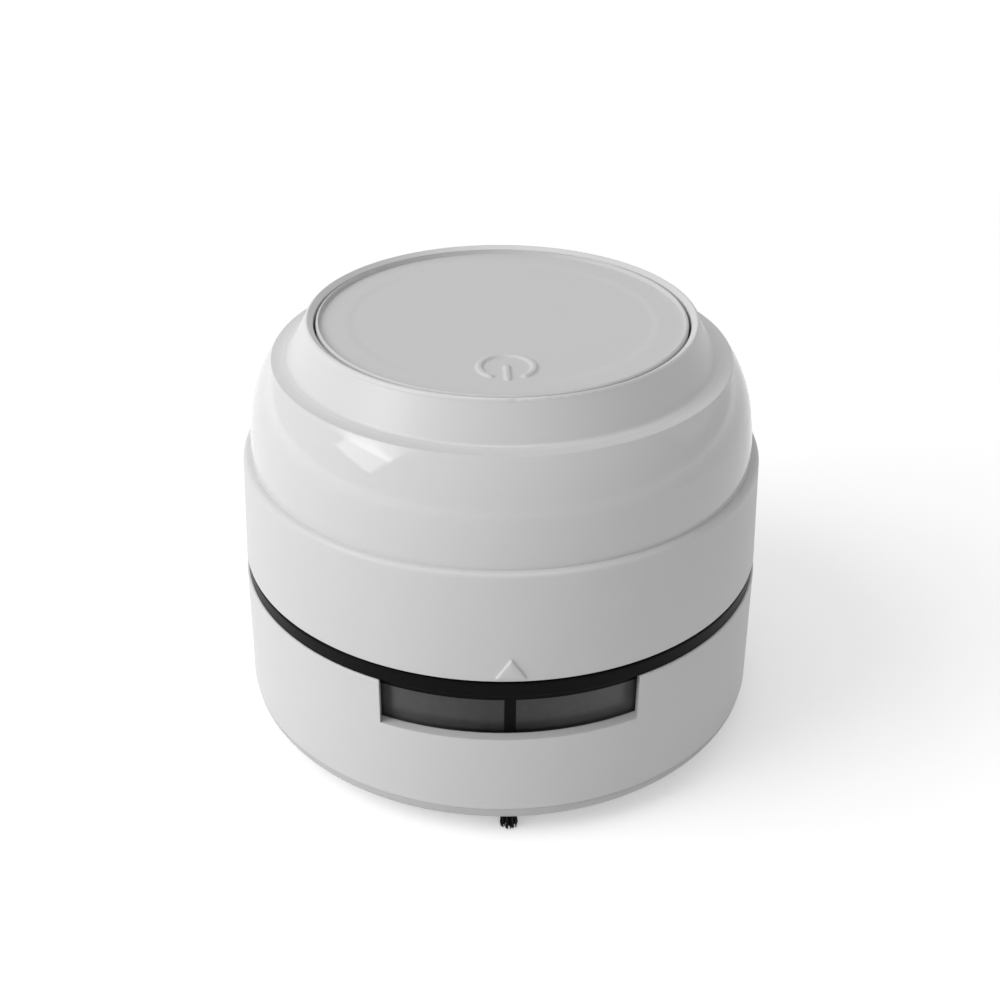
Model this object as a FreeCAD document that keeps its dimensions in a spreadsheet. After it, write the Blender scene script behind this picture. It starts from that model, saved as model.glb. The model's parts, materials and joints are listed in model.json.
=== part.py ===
import FreeCAD
import Part
import math
import os
import re
import Sketcher
from FreeCAD import Placement, Rotation, Vector

# A round desk vacuum: a dust cup that rolls on four small wheels, a filter above it,
# and a motor head under a domed cover whose whole top disc is the power button.
# Millimetres. Origin on the table under the middle, +Z up, the window looks along -Y.

document = FreeCAD.newDocument("desk_vacuum")
sheet = document.addObject("Spreadsheet::Sheet", "dim")
aliases = {}
finished = []
UP = Vector(0, 0, 1)
NO_TURN = Rotation(0, 0, 0)


def size(alias, value, meaning):
    """Writes one driving dimension into the sheet: its name, its plain number and what it measures."""
    row = len(aliases) + 1
    sheet.set(f"A{row}", meaning)
    sheet.set(f"B{row}", str(value))
    sheet.setAlias(f"B{row}", alias)
    aliases[alias] = value


def bound(expression):
    """Puts the sheet's name in front of each of its sizes in an expression."""
    def with_sheet(word):
        return "dim." + word[0] if word[0] in aliases else word[0]
    return re.sub(r"[a-z][a-z_]*", with_sheet, str(expression))


def number(expression):
    """What an expression comes to now."""
    return float(sheet.evalExpression(bound(expression)))


# Outline of the whole object
size("cup_foot_radius", 43.0, "dust cup outside, at its foot")
size("cup_foot_height", 5.65, "underside of the dust cup's wall")
size("cup_rim_radius", 42.6, "dust cup outside, at its rim")
size("cup_rim_height", 26.5, "top of the dust cup")
size("band_foot_radius", 42.42, "body band outside, at its foot")
size("band_foot_height", 29.25, "underside of the body band")
size("band_top_radius", 41.52, "body band outside, below its rounded top edge")
size("band_top_height", 46.95, "top of the body band")
size("band_round", 0.8, "rounding of the band's top edge")
size("dome_foot_radius", 40.28, "dome outside, where it leaves the band")
size("dome_foot_height", 46.4, "height of that crease")
size("dome_waist_radius", 39.5, "dome outside, where the shoulder starts")
size("dome_waist_height", 54.7, "height of that place")
size("dome_side_curve", 42.3, "curve of the dome's side")
size("dome_shoulder_curve", 19.4, "curve of the dome's shoulder")
size("valley_outer_radius", 36.0, "outer edge of the valley under the collar")
size("valley_outer_height", 62.55, "height of that edge")
size("valley_inner_radius", 33.6, "inner edge of the valley")
size("valley_inner_height", 62.7, "height of that edge")
size("collar_foot_radius", 33.2, "foot of the collar's sloping side")
size("collar_foot_height", 63.1, "height of that foot")
size("collar_top_radius", 30.64, "top of the collar's sloping side")
size("collar_top_height", 67.88, "height of that edge")
size("collar_crown_curve", 0.7, "rounding of the collar's rim")
size("valley_curve", 6.0, "curve of the valley's floor")
size("collar_foot_curve", 0.8, "curve between the valley and the collar")
size("crest_radius", 30.12, "highest line of the collar's rim")
size("crest_height", 68.5, "height of that line")
size("button_well_radius", 29.25, "bore that the button slides in")
size("button_well_edge", 67.95, "height of the bore's upper edge")
size("button_radius", 28.85, "button disc")
size("button_height", 67.4, "top face of the button")
size("button_travel", 1.5, "how far the button goes down")
size("edge_round", 0.3, "small edge rounding")

# Dust cup
size("cup_bore_radius", 41.1, "inside of the dust cup's wall")
size("cup_foot_bore", 41.2, "inside of the wall's foot ring")
size("cup_floor_underside", 6.2, "underside of the cup's floor")
size("cup_floor_height", 7.6, "top of the cup's floor")
size("cup_floor_curve", 1.5, "curve between floor and wall")
size("sill_height", 18.9, "lower edge of the window")
size("window_half_width", 19.3, "half width of the window at the outside")
size("window_draft", 0.3, "how much narrower the window is inside")
size("slot_middle", 6.0, "middle of each suction slot from the brush")
size("slot_half_width", 2.4, "half width of a suction slot")
size("slot_half_length", 28.0, "half length of a suction slot")
size("slot_corner", 1.6, "corner of a suction slot")
size("boss_across", 33.5, "base screw from the middle, across")
size("boss_along", 9.0, "base screw from the middle, along")
size("boss_radius", 2.4, "base screw boss")
size("pilot_radius", 0.85, "pilot hole for a base screw")

# Base plate
size("base_height", 2.9, "underside of the base plate")
size("base_flat_radius", 41.6, "flat part of the underside")
size("base_bevel_top", 5.6, "top of the base plate's bevel")
size("base_bevel_curve", 3.4, "curve of that bevel")
size("base_plate_top", 4.4, "upper face of the plate inside")
size("housing_top", 6.05, "top of the channel and wheel housings")
size("channel_half_width", 2.05, "half width of the brush channel")
size("channel_half_length", 40.45, "half length of the brush channel")
size("channel_roof", 5.3, "roof of the brush channel")
size("housing_wall", 0.9, "wall of the channel and wheel housings")
size("roller_across", 19.0, "wheel from the middle, across")
size("roller_along", 26.0, "wheel from the middle, along")
size("roller_radius", 2.5, "wheel")
size("roller_half_width", 2.5, "half width of a wheel")
size("roller_gap", 0.35, "room round a wheel")
size("roller_bore", 0.76, "hole through a wheel")
size("axle_radius", 0.7, "wheel axle")
size("axle_half_length", 4.1, "half length of a wheel axle")
size("cheek_thickness", 1.4, "cheek that holds the axle")
size("cheek_foot", 1.3, "lowest point of a cheek")
size("cheek_half_width", 1.7, "half width of a cheek")
size("head_recess_radius", 2.1, "recess for a base screw's head")
size("head_recess_depth", 1.0, "depth of that recess")
size("screw_clearance", 1.1, "hole for a base screw's shank")

# Brush
size("holder_half_width", 1.9, "half width of the brush bar")
size("holder_half_length", 39.9, "half length of the brush bar")
size("holder_foot", 3.3, "underside of the brush bar")
size("holder_top", 5.2, "top of the brush bar")
size("tuft_root_radius", 1.3, "bristle tuft where it leaves the bar")
size("tuft_tip_radius", 1.5, "bristle tuft at the table")
size("tuft_foot", 0.12, "tips of the bristles")
size("tuft_sides", 8, "sides of a tuft")
size("tuft_pitch", 3.11, "distance between tufts")
size("tuft_count", 26, "tufts in the row")

# Intake duct
size("duct_half_width", 10.2, "half width of the duct outside")
size("duct_half_length", 30.0, "half length of the duct outside")
size("duct_wall", 1.2, "wall of the duct")
size("duct_corner", 4.0, "corner of the duct")
size("duct_foot", 7.65, "underside of the duct's foot")
size("duct_foot_top", 8.65, "top of the duct's foot")
size("duct_foot_reach", 1.8, "how far the foot stands out")
size("duct_mouth", 11.6, "top of the duct's wall")
size("deflector_foot", 16.2, "underside of the deflector")
size("deflector_top", 17.4, "top of the deflector")
size("post_along", 20.0, "deflector post from the middle, along")
size("post_half_width", 1.1, "half width of a deflector post")

# Window ring and pane
size("ring_foot", 26.55, "underside of the ring's flange")
size("ring_top", 28.95, "top of the ring's flange")
size("ring_radius", 42.3, "outside of the ring's flange")
size("skirt_foot", 24.95, "lower edge of the ring's skirt")
size("skirt_bore", 39.85, "inside of the ring's skirt")
size("skirt_radius", 41.05, "outside of the ring's skirt")
size("ledge_foot", 25.9, "underside of the ledge that the filter rests on")
size("ledge_top", 27.1, "top of that ledge")
size("ledge_radius", 36.9, "inner edge of that ledge")
size("collar_bore", 38.4, "inside of the bayonet collar")
size("collar_radius", 39.6, "outside of the bayonet collar")
size("collar_height", 32.6, "top of the bayonet collar")
size("rib_half_width", 0.85, "half width of the window's rib")
size("rib_root", 40.74, "inner face of the window's rib")
size("hook_foot", 31.4, "underside of a bayonet hook")
size("hook_radius", 40.7, "outside of a bayonet hook")
size("hook_half_angle", 9.0, "half the angle that a hook covers")
size("stop_half_angle", 0.8, "half the angle of the stop beside a hook")
size("lug_half_angle", 8.0, "half the angle that a lug covers")
size("lug_foot", 29.9, "underside of a lug")
size("lug_top", 31.0, "top of a lug")
size("lug_inner_radius", 39.95, "inner face of a lug")
size("lock_turn", 20.0, "turn from open to locked")
size("bayonet_count", 3, "hooks and lugs")
size("key_half_width", 2.4, "half width of a filter key")
size("key_gap", 0.35, "room round a filter key")
size("key_radius", 38.85, "outside of a filter key")
size("pane_inner_radius", 39.5, "inside of the window pane")
size("pane_radius", 40.7, "outside of the window pane")
size("pane_half_angle", 30.0, "half the angle that the pane covers")
size("pane_foot", 17.4, "lower edge of the pane")
size("pane_lap", 18.75, "top of the pane's lap behind the sill")
size("pane_top", 24.9, "upper edge of the pane")

# Filter
size("filter_flange_radius", 38.1, "outside of the filter's flange")
size("filter_flange_foot", 27.15, "underside of the filter's flange")
size("filter_flange_top", 28.3, "top of the filter's flange")
size("filter_wall_radius", 36.5, "outside of the filter basket")
size("filter_wall", 1.2, "wall of the filter basket")
size("filter_foot", 19.8, "underside of the filter basket")
size("filter_spoke_top", 20.8, "top of the spokes")
size("filter_lip", 1.6, "ledge inside the basket's foot")
size("filter_hub_radius", 4.0, "hub between the spokes")
size("spoke_half_width", 0.8, "half width of a spoke")
size("spoke_count", 6, "spokes")
size("mesh_radius", 35.1, "filter mesh")
size("mesh_thickness", 0.4, "filter mesh")
size("seal_inner_radius", 36.2, "inside of the seal")
size("seal_radius", 37.8, "outside of the seal")
size("seal_top", 29.05, "top of the seal")

# Body band
size("band_wall", 1.5, "wall of the band at its foot")
size("band_top_bore", 40.3, "inside of the band at its top")
size("pointer_half_width", 2.35, "half width of the raised pointer")
size("pointer_foot", 29.9, "lower edge of the pointer")
size("pointer_tip", 33.3, "tip of the pointer")
size("pointer_face", 42.75, "front face of the pointer")
size("pointer_root", 41.3, "where the pointer starts inside the wall")
size("vent_foot", 33.2, "lower end of an exhaust slot")
size("vent_top", 38.0, "upper end of an exhaust slot")
size("vent_half_width", 0.8, "half width of an exhaust slot")
size("vent_step", 6.0, "angle between exhaust slots")
size("vent_count", 11, "exhaust slots")
size("port_height", 43.4, "middle of the charging port")
size("port_half_width", 4.85, "half width of the port's opening")
size("port_half_height", 1.95, "half height of the port's opening")
size("port_corner", 1.8, "corner of the port's opening")
size("ledge_pad_foot", 36.6, "underside of the pads that carry the motor plate")
size("ledge_pad_inner", 34.3, "inner face of those pads")
size("ledge_pad_half_angle", 5.0, "half the angle of a pad")
size("cover_screw_circle", 36.2, "cover screws from the middle")
size("cover_screw_angle", 20.0, "cover screws from the X axis")

# Upper cover
size("spigot_radius", 39.9, "outside of the cover's spigot in the band")
size("spigot_bore", 38.4, "inside of the cover's spigot")
size("spigot_foot", 39.7, "lower end of the spigot")
size("well_floor_underside", 61.6, "underside of the button well's floor")
size("well_floor", 63.0, "top of the button well's floor")
size("well_wall", 1.5, "wall round the button well")
size("collar_core_top", 64.6, "top of the hollow inside the collar")
size("collar_core_width", 0.35, "width of that hollow at its top")
size("core_foot_radius", 32.2, "outer side of that hollow at its foot")
size("core_foot_height", 61.7, "lower end of that hollow's outer side")
size("shoulder_bore_radius", 34.3, "dome inside, under the valley")
size("shoulder_bore_height", 61.1, "height of that place")
size("waist_bore_radius", 37.9, "dome inside, at the waist")
size("waist_bore_height", 54.4, "height of that place")
size("shoulder_bore_curve", 17.5, "curve of the dome's inside")
size("cover_boss_radius", 2.5, "boss for a cover screw")
size("cover_boss_top", 53.5, "top of that boss")
size("cover_pilot_radius", 0.8, "pilot hole for a cover screw")
size("cover_pilot_depth", 9.0, "depth of that hole")
size("leg_circle", 24.0, "button legs from the middle")
size("leg_count", 3, "button legs and springs")
size("leg_half_width", 2.0, "half width of a button leg")
size("leg_thickness", 1.6, "thickness of a button leg")
size("leg_foot", 59.4, "lower end of a button leg")
size("hook_reach", 0.9, "how far a leg's hook stands out")
size("hook_top", 61.55, "upper face of a leg's hook")
size("leg_gap", 0.4, "room round a button leg")
size("spring_circle", 20.0, "button springs from the middle")
size("spring_cup_radius", 3.3, "outside of a spring cup")
size("spring_cup_bore", 2.75, "inside of a spring cup")
size("spring_cup_foot", 57.6, "underside of a spring cup")
size("spring_seat", 58.5, "where a spring stands")
size("stem_across", -8.0, "switch stem from the middle, across")
size("stem_along", 24.0, "switch stem from the middle, along")
size("stem_radius", 2.3, "switch stem")
size("stem_gap", 0.6, "room round the switch stem")

# Button
size("button_underside", 65.5, "underside of the button disc")
size("button_skirt_foot", 64.75, "lower edge of the button's skirt")
size("button_skirt_wall", 1.4, "wall of the button's skirt")
size("button_round", 0.4, "rounding of the button's edge")
size("dish_radius", 23.4, "flat middle of the button's shallow dish")
size("dish_depth", 0.2, "depth of that dish")
size("icon_along", -17.9, "middle of the raised power symbol")
size("icon_outer", 4.65, "outside of the symbol's arc")
size("icon_inner", 3.35, "inside of the symbol's arc")
size("icon_gap_angle", 29.0, "half the gap in the arc")
size("icon_raise", 0.3, "how far the symbol stands up")
size("icon_bar_half_width", 0.63, "half width of the symbol's bar")
size("icon_bar_top", 0.7, "inner end of the bar from the symbol's middle")
size("icon_bar_foot", -4.7, "outer end of the bar from the symbol's middle")
size("pin_radius", 1.3, "pin inside a spring")
size("pin_foot", 61.8, "lower end of that pin")
size("stem_foot", 54.15, "lower end of the switch stem")

# Springs
size("spring_radius", 2.1, "coil, to the middle of its wire")
size("spring_wire", 0.25, "radius of the wire")
size("spring_turns", 4.0, "turns of a spring")

# Motor head
size("plate_radius", 39.9, "motor plate")
size("plate_foot", 38.05, "underside of the motor plate")
size("plate_top", 39.6, "top of the motor plate")
size("plate_hole", 3.25, "hole for the motor's boss")
size("seat_bore", 12.2, "inside of the motor's seat")
size("seat_radius", 13.4, "outside of the motor's seat")
size("seat_height", 42.6, "top of the motor's seat")
size("motor_radius", 12.0, "motor can")
size("motor_foot", 39.65, "underside of the motor can")
size("motor_top", 57.6, "top of the motor can")
size("motor_round", 1.2, "rounding of the motor can")
size("motor_boss_radius", 3.0, "bearing boss of the motor")
size("motor_boss_foot", 38.15, "lower end of that boss")
size("cap_radius", 11.1, "motor end cap")
size("cap_top", 59.8, "top of the end cap")
size("cap_bearing_radius", 2.6, "bearing hump on the end cap")
size("cap_bearing_top", 60.8, "top of that hump")
size("shaft_radius", 1.0, "motor shaft")
size("shaft_running_gap", 0.06, "room round the shaft in its bearings")
size("shaft_foot", 31.9, "lower end of the shaft")
size("shaft_top", 60.2, "upper end of the shaft")
size("motor_screw_circle", 8.0, "motor screws from the middle")
size("motor_screw_radius", 1.0, "motor screw")
size("motor_thread_depth", 3.0, "depth of its thread in the can")
size("motor_head_depth", 0.9, "recess for its head in the motor plate")
size("shroud_plate_radius", 38.0, "bottom plate of the fan shroud")
size("shroud_foot", 29.3, "underside of the fan shroud")
size("shroud_plate", 1.2, "thickness of that plate")
size("shroud_bore", 32.6, "inside of the fan shroud's wall")
size("shroud_radius", 33.8, "outside of the fan shroud's wall")
size("shroud_top", 38.0, "top of the fan shroud")
size("eye_radius", 12.0, "intake eye of the fan")
size("eye_lip_radius", 13.4, "lip round the eye")
size("eye_lip_top", 31.1, "top of that lip")
size("window_foot", 31.6, "lower edge of the shroud's outlets")
size("window_top", 36.2, "upper edge of the shroud's outlets")
size("outlet_half_width", 6.2, "half width of an outlet")
size("outlet_step", 27.0, "angle between outlets")
size("outlet_count", 5, "outlets")
size("ear_circle", 35.8, "shroud screws from the middle")
size("ear_radius", 2.3, "ear for a shroud screw")
size("ear_foot", 36.4, "underside of an ear")
size("ear_count", 3, "ears")

# Impeller
size("fan_radius", 27.0, "impeller")
size("fan_disc_foot", 35.8, "underside of the impeller's disc")
size("fan_disc_top", 37.0, "top of the impeller's disc")
size("hub_radius", 4.6, "impeller hub")
size("hub_foot", 31.6, "lower end of the hub")
size("hub_nose", 2.6, "radius of the hub's nose")
size("blade_count", 11, "blades")
size("blade_root", 8.6, "inner end of a blade")
size("blade_tip", 26.4, "outer end of a blade")
size("blade_sweep", 52.0, "how far a blade leans back, root to tip")
size("blade_curve", 19.0, "curve of a blade")
size("blade_thickness", 0.9, "thickness of a blade")
size("blade_foot", 31.4, "lower edge of a blade at the eye")
size("blade_tip_foot", 33.0, "lower edge of a blade at its tip")

# Battery, board and switch
size("cell_radius", 7.05, "battery cell")
size("cell_half_length", 21.5, "half length of the battery cell")
size("cell_along", -22.5, "battery cell from the middle")
size("cell_height", 48.0, "middle of the battery cell")
size("cradle_half_length", 23.2, "half length of the cradle")
size("cradle_half_width", 7.6, "half width of the cradle")
size("cradle_height", 46.5, "top of the cradle's sides")
size("cradle_end_height", 51.5, "top of the cradle's ends")
size("cradle_end", 1.4, "thickness of the cradle's ends")
size("cradle_gap", 0.15, "room round the cell")
size("board_foot", 40.6, "underside of the circuit board")
size("board_top", 41.8, "top of the circuit board")
size("board_half_width", 15.0, "half width of the board")
size("board_near", 15.5, "near edge of the board")
size("board_far", 34.0, "far edge of the board")
size("standoff_across", 12.5, "board screw from the middle, across")
size("standoff_near", 18.0, "board screw from the middle, along")
size("standoff_radius", 2.1, "standoff under the board")
size("socket_near", 33.0, "inner end of the charging socket")
size("socket_mouth", 40.35, "mouth of the charging socket")
size("socket_half_width", 4.47, "half width of the charging socket")
size("socket_half_height", 1.58, "half height of the charging socket")
size("socket_wall", 0.3, "wall of the charging socket")
size("socket_depth", 6.2, "depth of its cavity")
size("tongue_half_width", 3.35, "half width of the tongue")
size("tongue_half_height", 0.35, "half height of the tongue")
size("tongue_mouth", 39.4, "front of the tongue")
size("switch_half_width", 4.0, "half width of the switch")
size("switch_top", 49.3, "top of the switch")
size("plunger_radius", 1.7, "switch plunger")
size("plunger_foot", 45.5, "lower end of the plunger")
size("plunger_top", 54.05, "upper end of the plunger")
size("plunger_gap", 0.08, "room round the plunger")
document.recompute()


# Helpers for sketches and features

def new_body(label):
    """A PartDesign body, named for the piece that it becomes."""
    body = document.addObject("PartDesign::Body", label)
    body.Label = label
    return body


def attach(sketch, body, plane, lift=0, turn=0):
    """Lays a sketch on one of its body's planes, lifted along the normal and turned about the sketch's Y."""
    plane_object = next(o for o in body.Origin.OriginFeatures if o.Role == plane)
    sketch.AttachmentSupport = [(plane_object, "")]
    sketch.MapMode = "FlatFace"
    sketch.AttachmentOffset = Placement(Vector(0, 0, number(lift)), Rotation(Vector(0, 1, 0), number(turn)))
    if lift != 0:
        sketch.setExpression("AttachmentOffset.Base.z", bound(lift))


def pin_point(sketch, edge, end, x, y):
    """Ties the end of an edge to the sheet through its two distances from the origin."""
    for kind, value, axis in (("DistanceX", x, -2), ("DistanceY", y, -1)):
        if abs(number(value)) < 1e-9:
            sketch.addConstraint(Sketcher.Constraint("PointOnObject", edge, end, axis))
        else:
            index = sketch.addConstraint(Sketcher.Constraint(kind, -1, 1, edge, end, number(value)))
            sketch.setExpression(f"Constraints[{index}]", bound(value))


def arc_between(start, finish, radius, side):
    """The short arc from start to finish: side 1 turns anticlockwise, side -1 clockwise."""
    chord = finish - start
    middle = (start + finish) * 0.5
    normal = Vector(-chord.y, chord.x, 0) * (1 / chord.Length)
    centre = middle + normal * (side * math.sqrt(max(radius**2 - chord.Length**2 / 4, 0)))
    first, last = (start, finish) if side > 0 else (finish, start)
    angles = [math.atan2(p.y - centre.y, p.x - centre.x) for p in (first, last)]
    return Part.ArcOfCircle(Part.Circle(centre, UP, radius), angles[0], angles[1])


def outline(body, name, plane, corners, lift=0, turn=0):
    """A closed sketch through corners (x, y). A corner (x, y, radius, side) bends the edge that leaves it."""
    sketch = body.newObject("Sketcher::SketchObject", name)
    attach(sketch, body, plane, lift, turn)
    points = [Vector(number(c[0]), number(c[1]), 0) for c in corners]
    ends = []
    for i, corner in enumerate(corners):
        start, finish = points[i], points[(i + 1) % len(points)]
        if len(corner) == 4:
            edge = sketch.addGeometry(arc_between(start, finish, number(corner[2]), corner[3]))
            ends.append((edge, 1, 2) if corner[3] > 0 else (edge, 2, 1))
        else:
            ends.append((sketch.addGeometry(Part.LineSegment(start, finish)), 1, 2))
    for i, (edge, first, last) in enumerate(ends):
        after = ends[(i + 1) % len(ends)]
        sketch.addConstraint(Sketcher.Constraint("Coincident", edge, last, after[0], after[1]))
        pin_point(sketch, edge, first, corners[i][0], corners[i][1])
        if len(corners[i]) == 4:
            index = sketch.addConstraint(Sketcher.Constraint("Radius", edge, number(corners[i][2])))
            sketch.setExpression(f"Constraints[{index}]", bound(corners[i][2]))
    return sketch


def circles(body, name, plane, spots, radius, lift=0):
    """One sketch with a circle of the same radius at each spot."""
    sketch = body.newObject("Sketcher::SketchObject", name)
    attach(sketch, body, plane, lift)
    for x, y in spots:
        edge = sketch.addGeometry(Part.Circle(Vector(number(x), number(y), 0), UP, number(radius)))
        index = sketch.addConstraint(Sketcher.Constraint("Radius", edge, number(radius)))
        sketch.setExpression(f"Constraints[{index}]", bound(radius))
        pin_point(sketch, edge, 3, x, y)
    return sketch


def rounded_box(body, name, plane, middle, half, corner, lift=0):
    """A rectangle with rounded corners about a middle point."""
    (mx, my), (hx, hy) = middle, half
    corner = f"({corner})"
    right, left = f"({mx}) + ({hx})", f"({mx}) - ({hx})"
    top, foot = f"({my}) + ({hy})", f"({my}) - ({hy})"
    return outline(body, name, plane, [
        (f"{left} + {corner}", foot), (f"{right} - {corner}", foot, corner, 1),
        (right, f"{foot} + {corner}"), (right, f"{top} - {corner}", corner, 1),
        (f"{right} - {corner}", top), (f"{left} + {corner}", top, corner, 1),
        (left, f"{top} - {corner}"), (left, f"{foot} + {corner}", corner, 1),
    ], lift)


def rectangle(body, name, plane, left, right, foot, top, lift=0, turn=0):
    """A plain rectangle."""
    return outline(body, name, plane, [(left, foot), (right, foot), (right, top), (left, top)], lift, turn)


def sector(body, name, inner, outer, middle_angle, half_angle, lift):
    """Part of a flat ring, about a middle angle counted from +X."""
    first, last = f"({middle_angle}) - ({half_angle})", f"({middle_angle}) + ({half_angle})"
    return outline(body, name, "XY_Plane", [
        (f"({inner}) * cos({first})", f"({inner}) * sin({first})"),
        (f"({outer}) * cos({first})", f"({outer}) * sin({first})", outer, 1),
        (f"({outer}) * cos({last})", f"({outer}) * sin({last})"),
        (f"({inner}) * cos({last})", f"({inner}) * sin({last})", inner, -1),
    ], lift)


def revolve(body, sketch, angle=360):
    """Turns a profile about the sketch's upright axis. A part turn goes half to each side of its plane."""
    feature = body.newObject("PartDesign::Revolution", sketch.Name + "_turned")
    feature.Profile = sketch
    feature.ReferenceAxis = (sketch, ["V_Axis"])
    feature.Angle = number(angle)
    feature.Midplane = number(angle) < 360
    if angle != 360:
        feature.setExpression("Angle", bound(angle))
    document.recompute()
    return feature


def pad(body, sketch, length, both_ways=False):
    """Raises a sketch along its normal."""
    feature = body.newObject("PartDesign::Pad", sketch.Name + "_raised")
    feature.Profile = sketch
    feature.Length = number(length)
    feature.setExpression("Length", bound(length))
    if both_ways:
        feature.Midplane = True
    document.recompute()
    return feature


def pocket(body, sketch, length):
    """Cuts a sketch away along its normal, and makes sure that something was cut."""
    before = body.Shape.Volume
    feature = body.newObject("PartDesign::Pocket", sketch.Name + "_cut")
    feature.Profile = sketch
    feature.Reversed = True
    feature.Length = number(length)
    feature.setExpression("Length", bound(length))
    document.recompute()
    if not body.Shape.Volume < before - 1e-4:
        raise RuntimeError(f"{feature.Name} in {body.Label} cuts nothing")
    return feature


def around(body, feature, count, sweep=360):
    """Repeats a feature round the upright axis, over a full turn or over a smaller sweep."""
    pattern = body.newObject("PartDesign::PolarPattern", feature.Name + "_round")
    pattern.Originals = [feature]
    pattern.Axis = (next(o for o in body.Origin.OriginFeatures if o.Role == "Z_Axis"), [""])
    pattern.Angle = number(sweep)
    pattern.Occurrences = int(number(count))
    pattern.setExpression("Occurrences", bound(count))
    if sweep != 360:
        pattern.setExpression("Angle", bound(sweep))
    body.Tip = pattern
    document.recompute()
    return pattern


def cylinder(name, radius, foot, top, across=0, along=0):
    """An upright Part cylinder between two heights."""
    item = document.addObject("Part::Cylinder", name)
    item.setExpression("Radius", bound(radius))
    item.setExpression("Height", bound(f"({top}) - ({foot})"))
    for key, value in (("x", across), ("y", along), ("z", foot)):
        item.setExpression(f"Placement.Base.{key}", bound(value))
    return item


def box(name, left, right, near, far, foot, top):
    """A Part box between six limits."""
    item = document.addObject("Part::Box", name)
    for key, low, high in (("Length", left, right), ("Width", near, far), ("Height", foot, top)):
        item.setExpression(key, bound(f"({high}) - ({low})"))
    for key, low in (("x", left), ("y", near), ("z", foot)):
        item.setExpression(f"Placement.Base.{key}", bound(low))
    return item


def boolean(kind, name, base, tool):
    """A Part cut or fuse of two objects."""
    item = document.addObject("Part::" + kind, name)
    item.Base = base
    item.Tool = tool
    document.recompute()
    return item


def group(label, items):
    """Several separate solids in one piece."""
    item = document.addObject("Part::Compound", label)
    item.Links = items
    return finish(item, label)


def finish(item, label):
    """Names a finished piece and puts it on the list of what is written out."""
    item.Label = label
    finished.append(item)
    return item


def corners_of(across, along):
    """The four places (+-across, +-along)."""
    return [(f"{i} * {across}", f"{j} * {along}") for i in (-1, 1) for j in (-1, 1)]


def on_circle(radius, angle):
    """The place at an angle on a circle about the middle."""
    return f"{radius} * cos({angle})", f"{radius} * sin({angle})"


COVER_SCREW_ANGLES = ["cover_screw_angle", "180 - cover_screw_angle", "180 + cover_screw_angle",
                      "-1 * cover_screw_angle"]
COVER_SCREW_SPOTS = [on_circle("cover_screw_circle", angle) for angle in COVER_SCREW_ANGLES]
MOTOR_SCREW_SPOTS = [("motor_screw_circle", 0), ("-1 * motor_screw_circle", 0)]
STANDOFF_SPOTS = [("standoff_across", "standoff_near"), ("-1 * standoff_across", "standoff_near")]
EAR_SPOTS = [on_circle("ear_circle", f"90 + 360 / ear_count * {i}") for i in range(int(number("ear_count")))]


# Dust cup

def make_lower_shell():
    """The cup that catches the dirt: turned wall and floor, window notch, two suction slots, screw bosses."""
    body = new_body("lower_shell")
    revolve(body, outline(body, "cup_profile", "XZ_Plane", [
        (0, "cup_floor_underside"),
        ("cup_foot_bore", "cup_floor_underside"),
        ("cup_foot_bore", "cup_foot_height"),
        ("cup_foot_radius - edge_round", "cup_foot_height", "edge_round", 1),
        ("cup_foot_radius", "cup_foot_height + edge_round"),
        ("cup_rim_radius", "cup_rim_height - edge_round"),
        ("cup_rim_radius - edge_round", "cup_rim_height"),
        ("cup_bore_radius", "cup_rim_height"),
        ("cup_bore_radius", "cup_floor_height + cup_floor_curve", "cup_floor_curve", -1),
        ("cup_bore_radius - cup_floor_curve", "cup_floor_height"),
        (0, "cup_floor_height"),
    ]))
    notch = outline(body, "window_notch", "XY_Plane", [
        ("-1 * (window_half_width + window_draft)", "-1.05 * cup_foot_radius"),
        ("window_half_width + window_draft", "-1.05 * cup_foot_radius"),
        ("window_half_width - window_draft", "-0.85 * cup_bore_radius"),
        ("window_draft - window_half_width", "-0.85 * cup_bore_radius"),
    ], "sill_height")
    pocket(body, notch, "cup_rim_height - sill_height + 1")
    bosses = circles(body, "boss", "XY_Plane", corners_of("boss_across", "boss_along"), "boss_radius",
                     "base_plate_top + 0.05")
    pad(body, bosses, "cup_floor_underside - base_plate_top + 0.05")
    pilots = circles(body, "pilot", "XY_Plane", corners_of("boss_across", "boss_along"), "pilot_radius",
                     "base_plate_top")
    pocket(body, pilots, "cup_floor_height - base_plate_top - 0.5")
    for side in (-1, 1):
        slot = rounded_box(body, f"floor_slot_{side + 2}", "XY_Plane", (f"{side} * slot_middle", 0),
                           ("slot_half_width", "slot_half_length"), "slot_corner", "cup_floor_underside - 1")
        pocket(body, slot, "cup_floor_height - cup_floor_underside + 2")
    return finish(body, "lower_shell")


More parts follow.
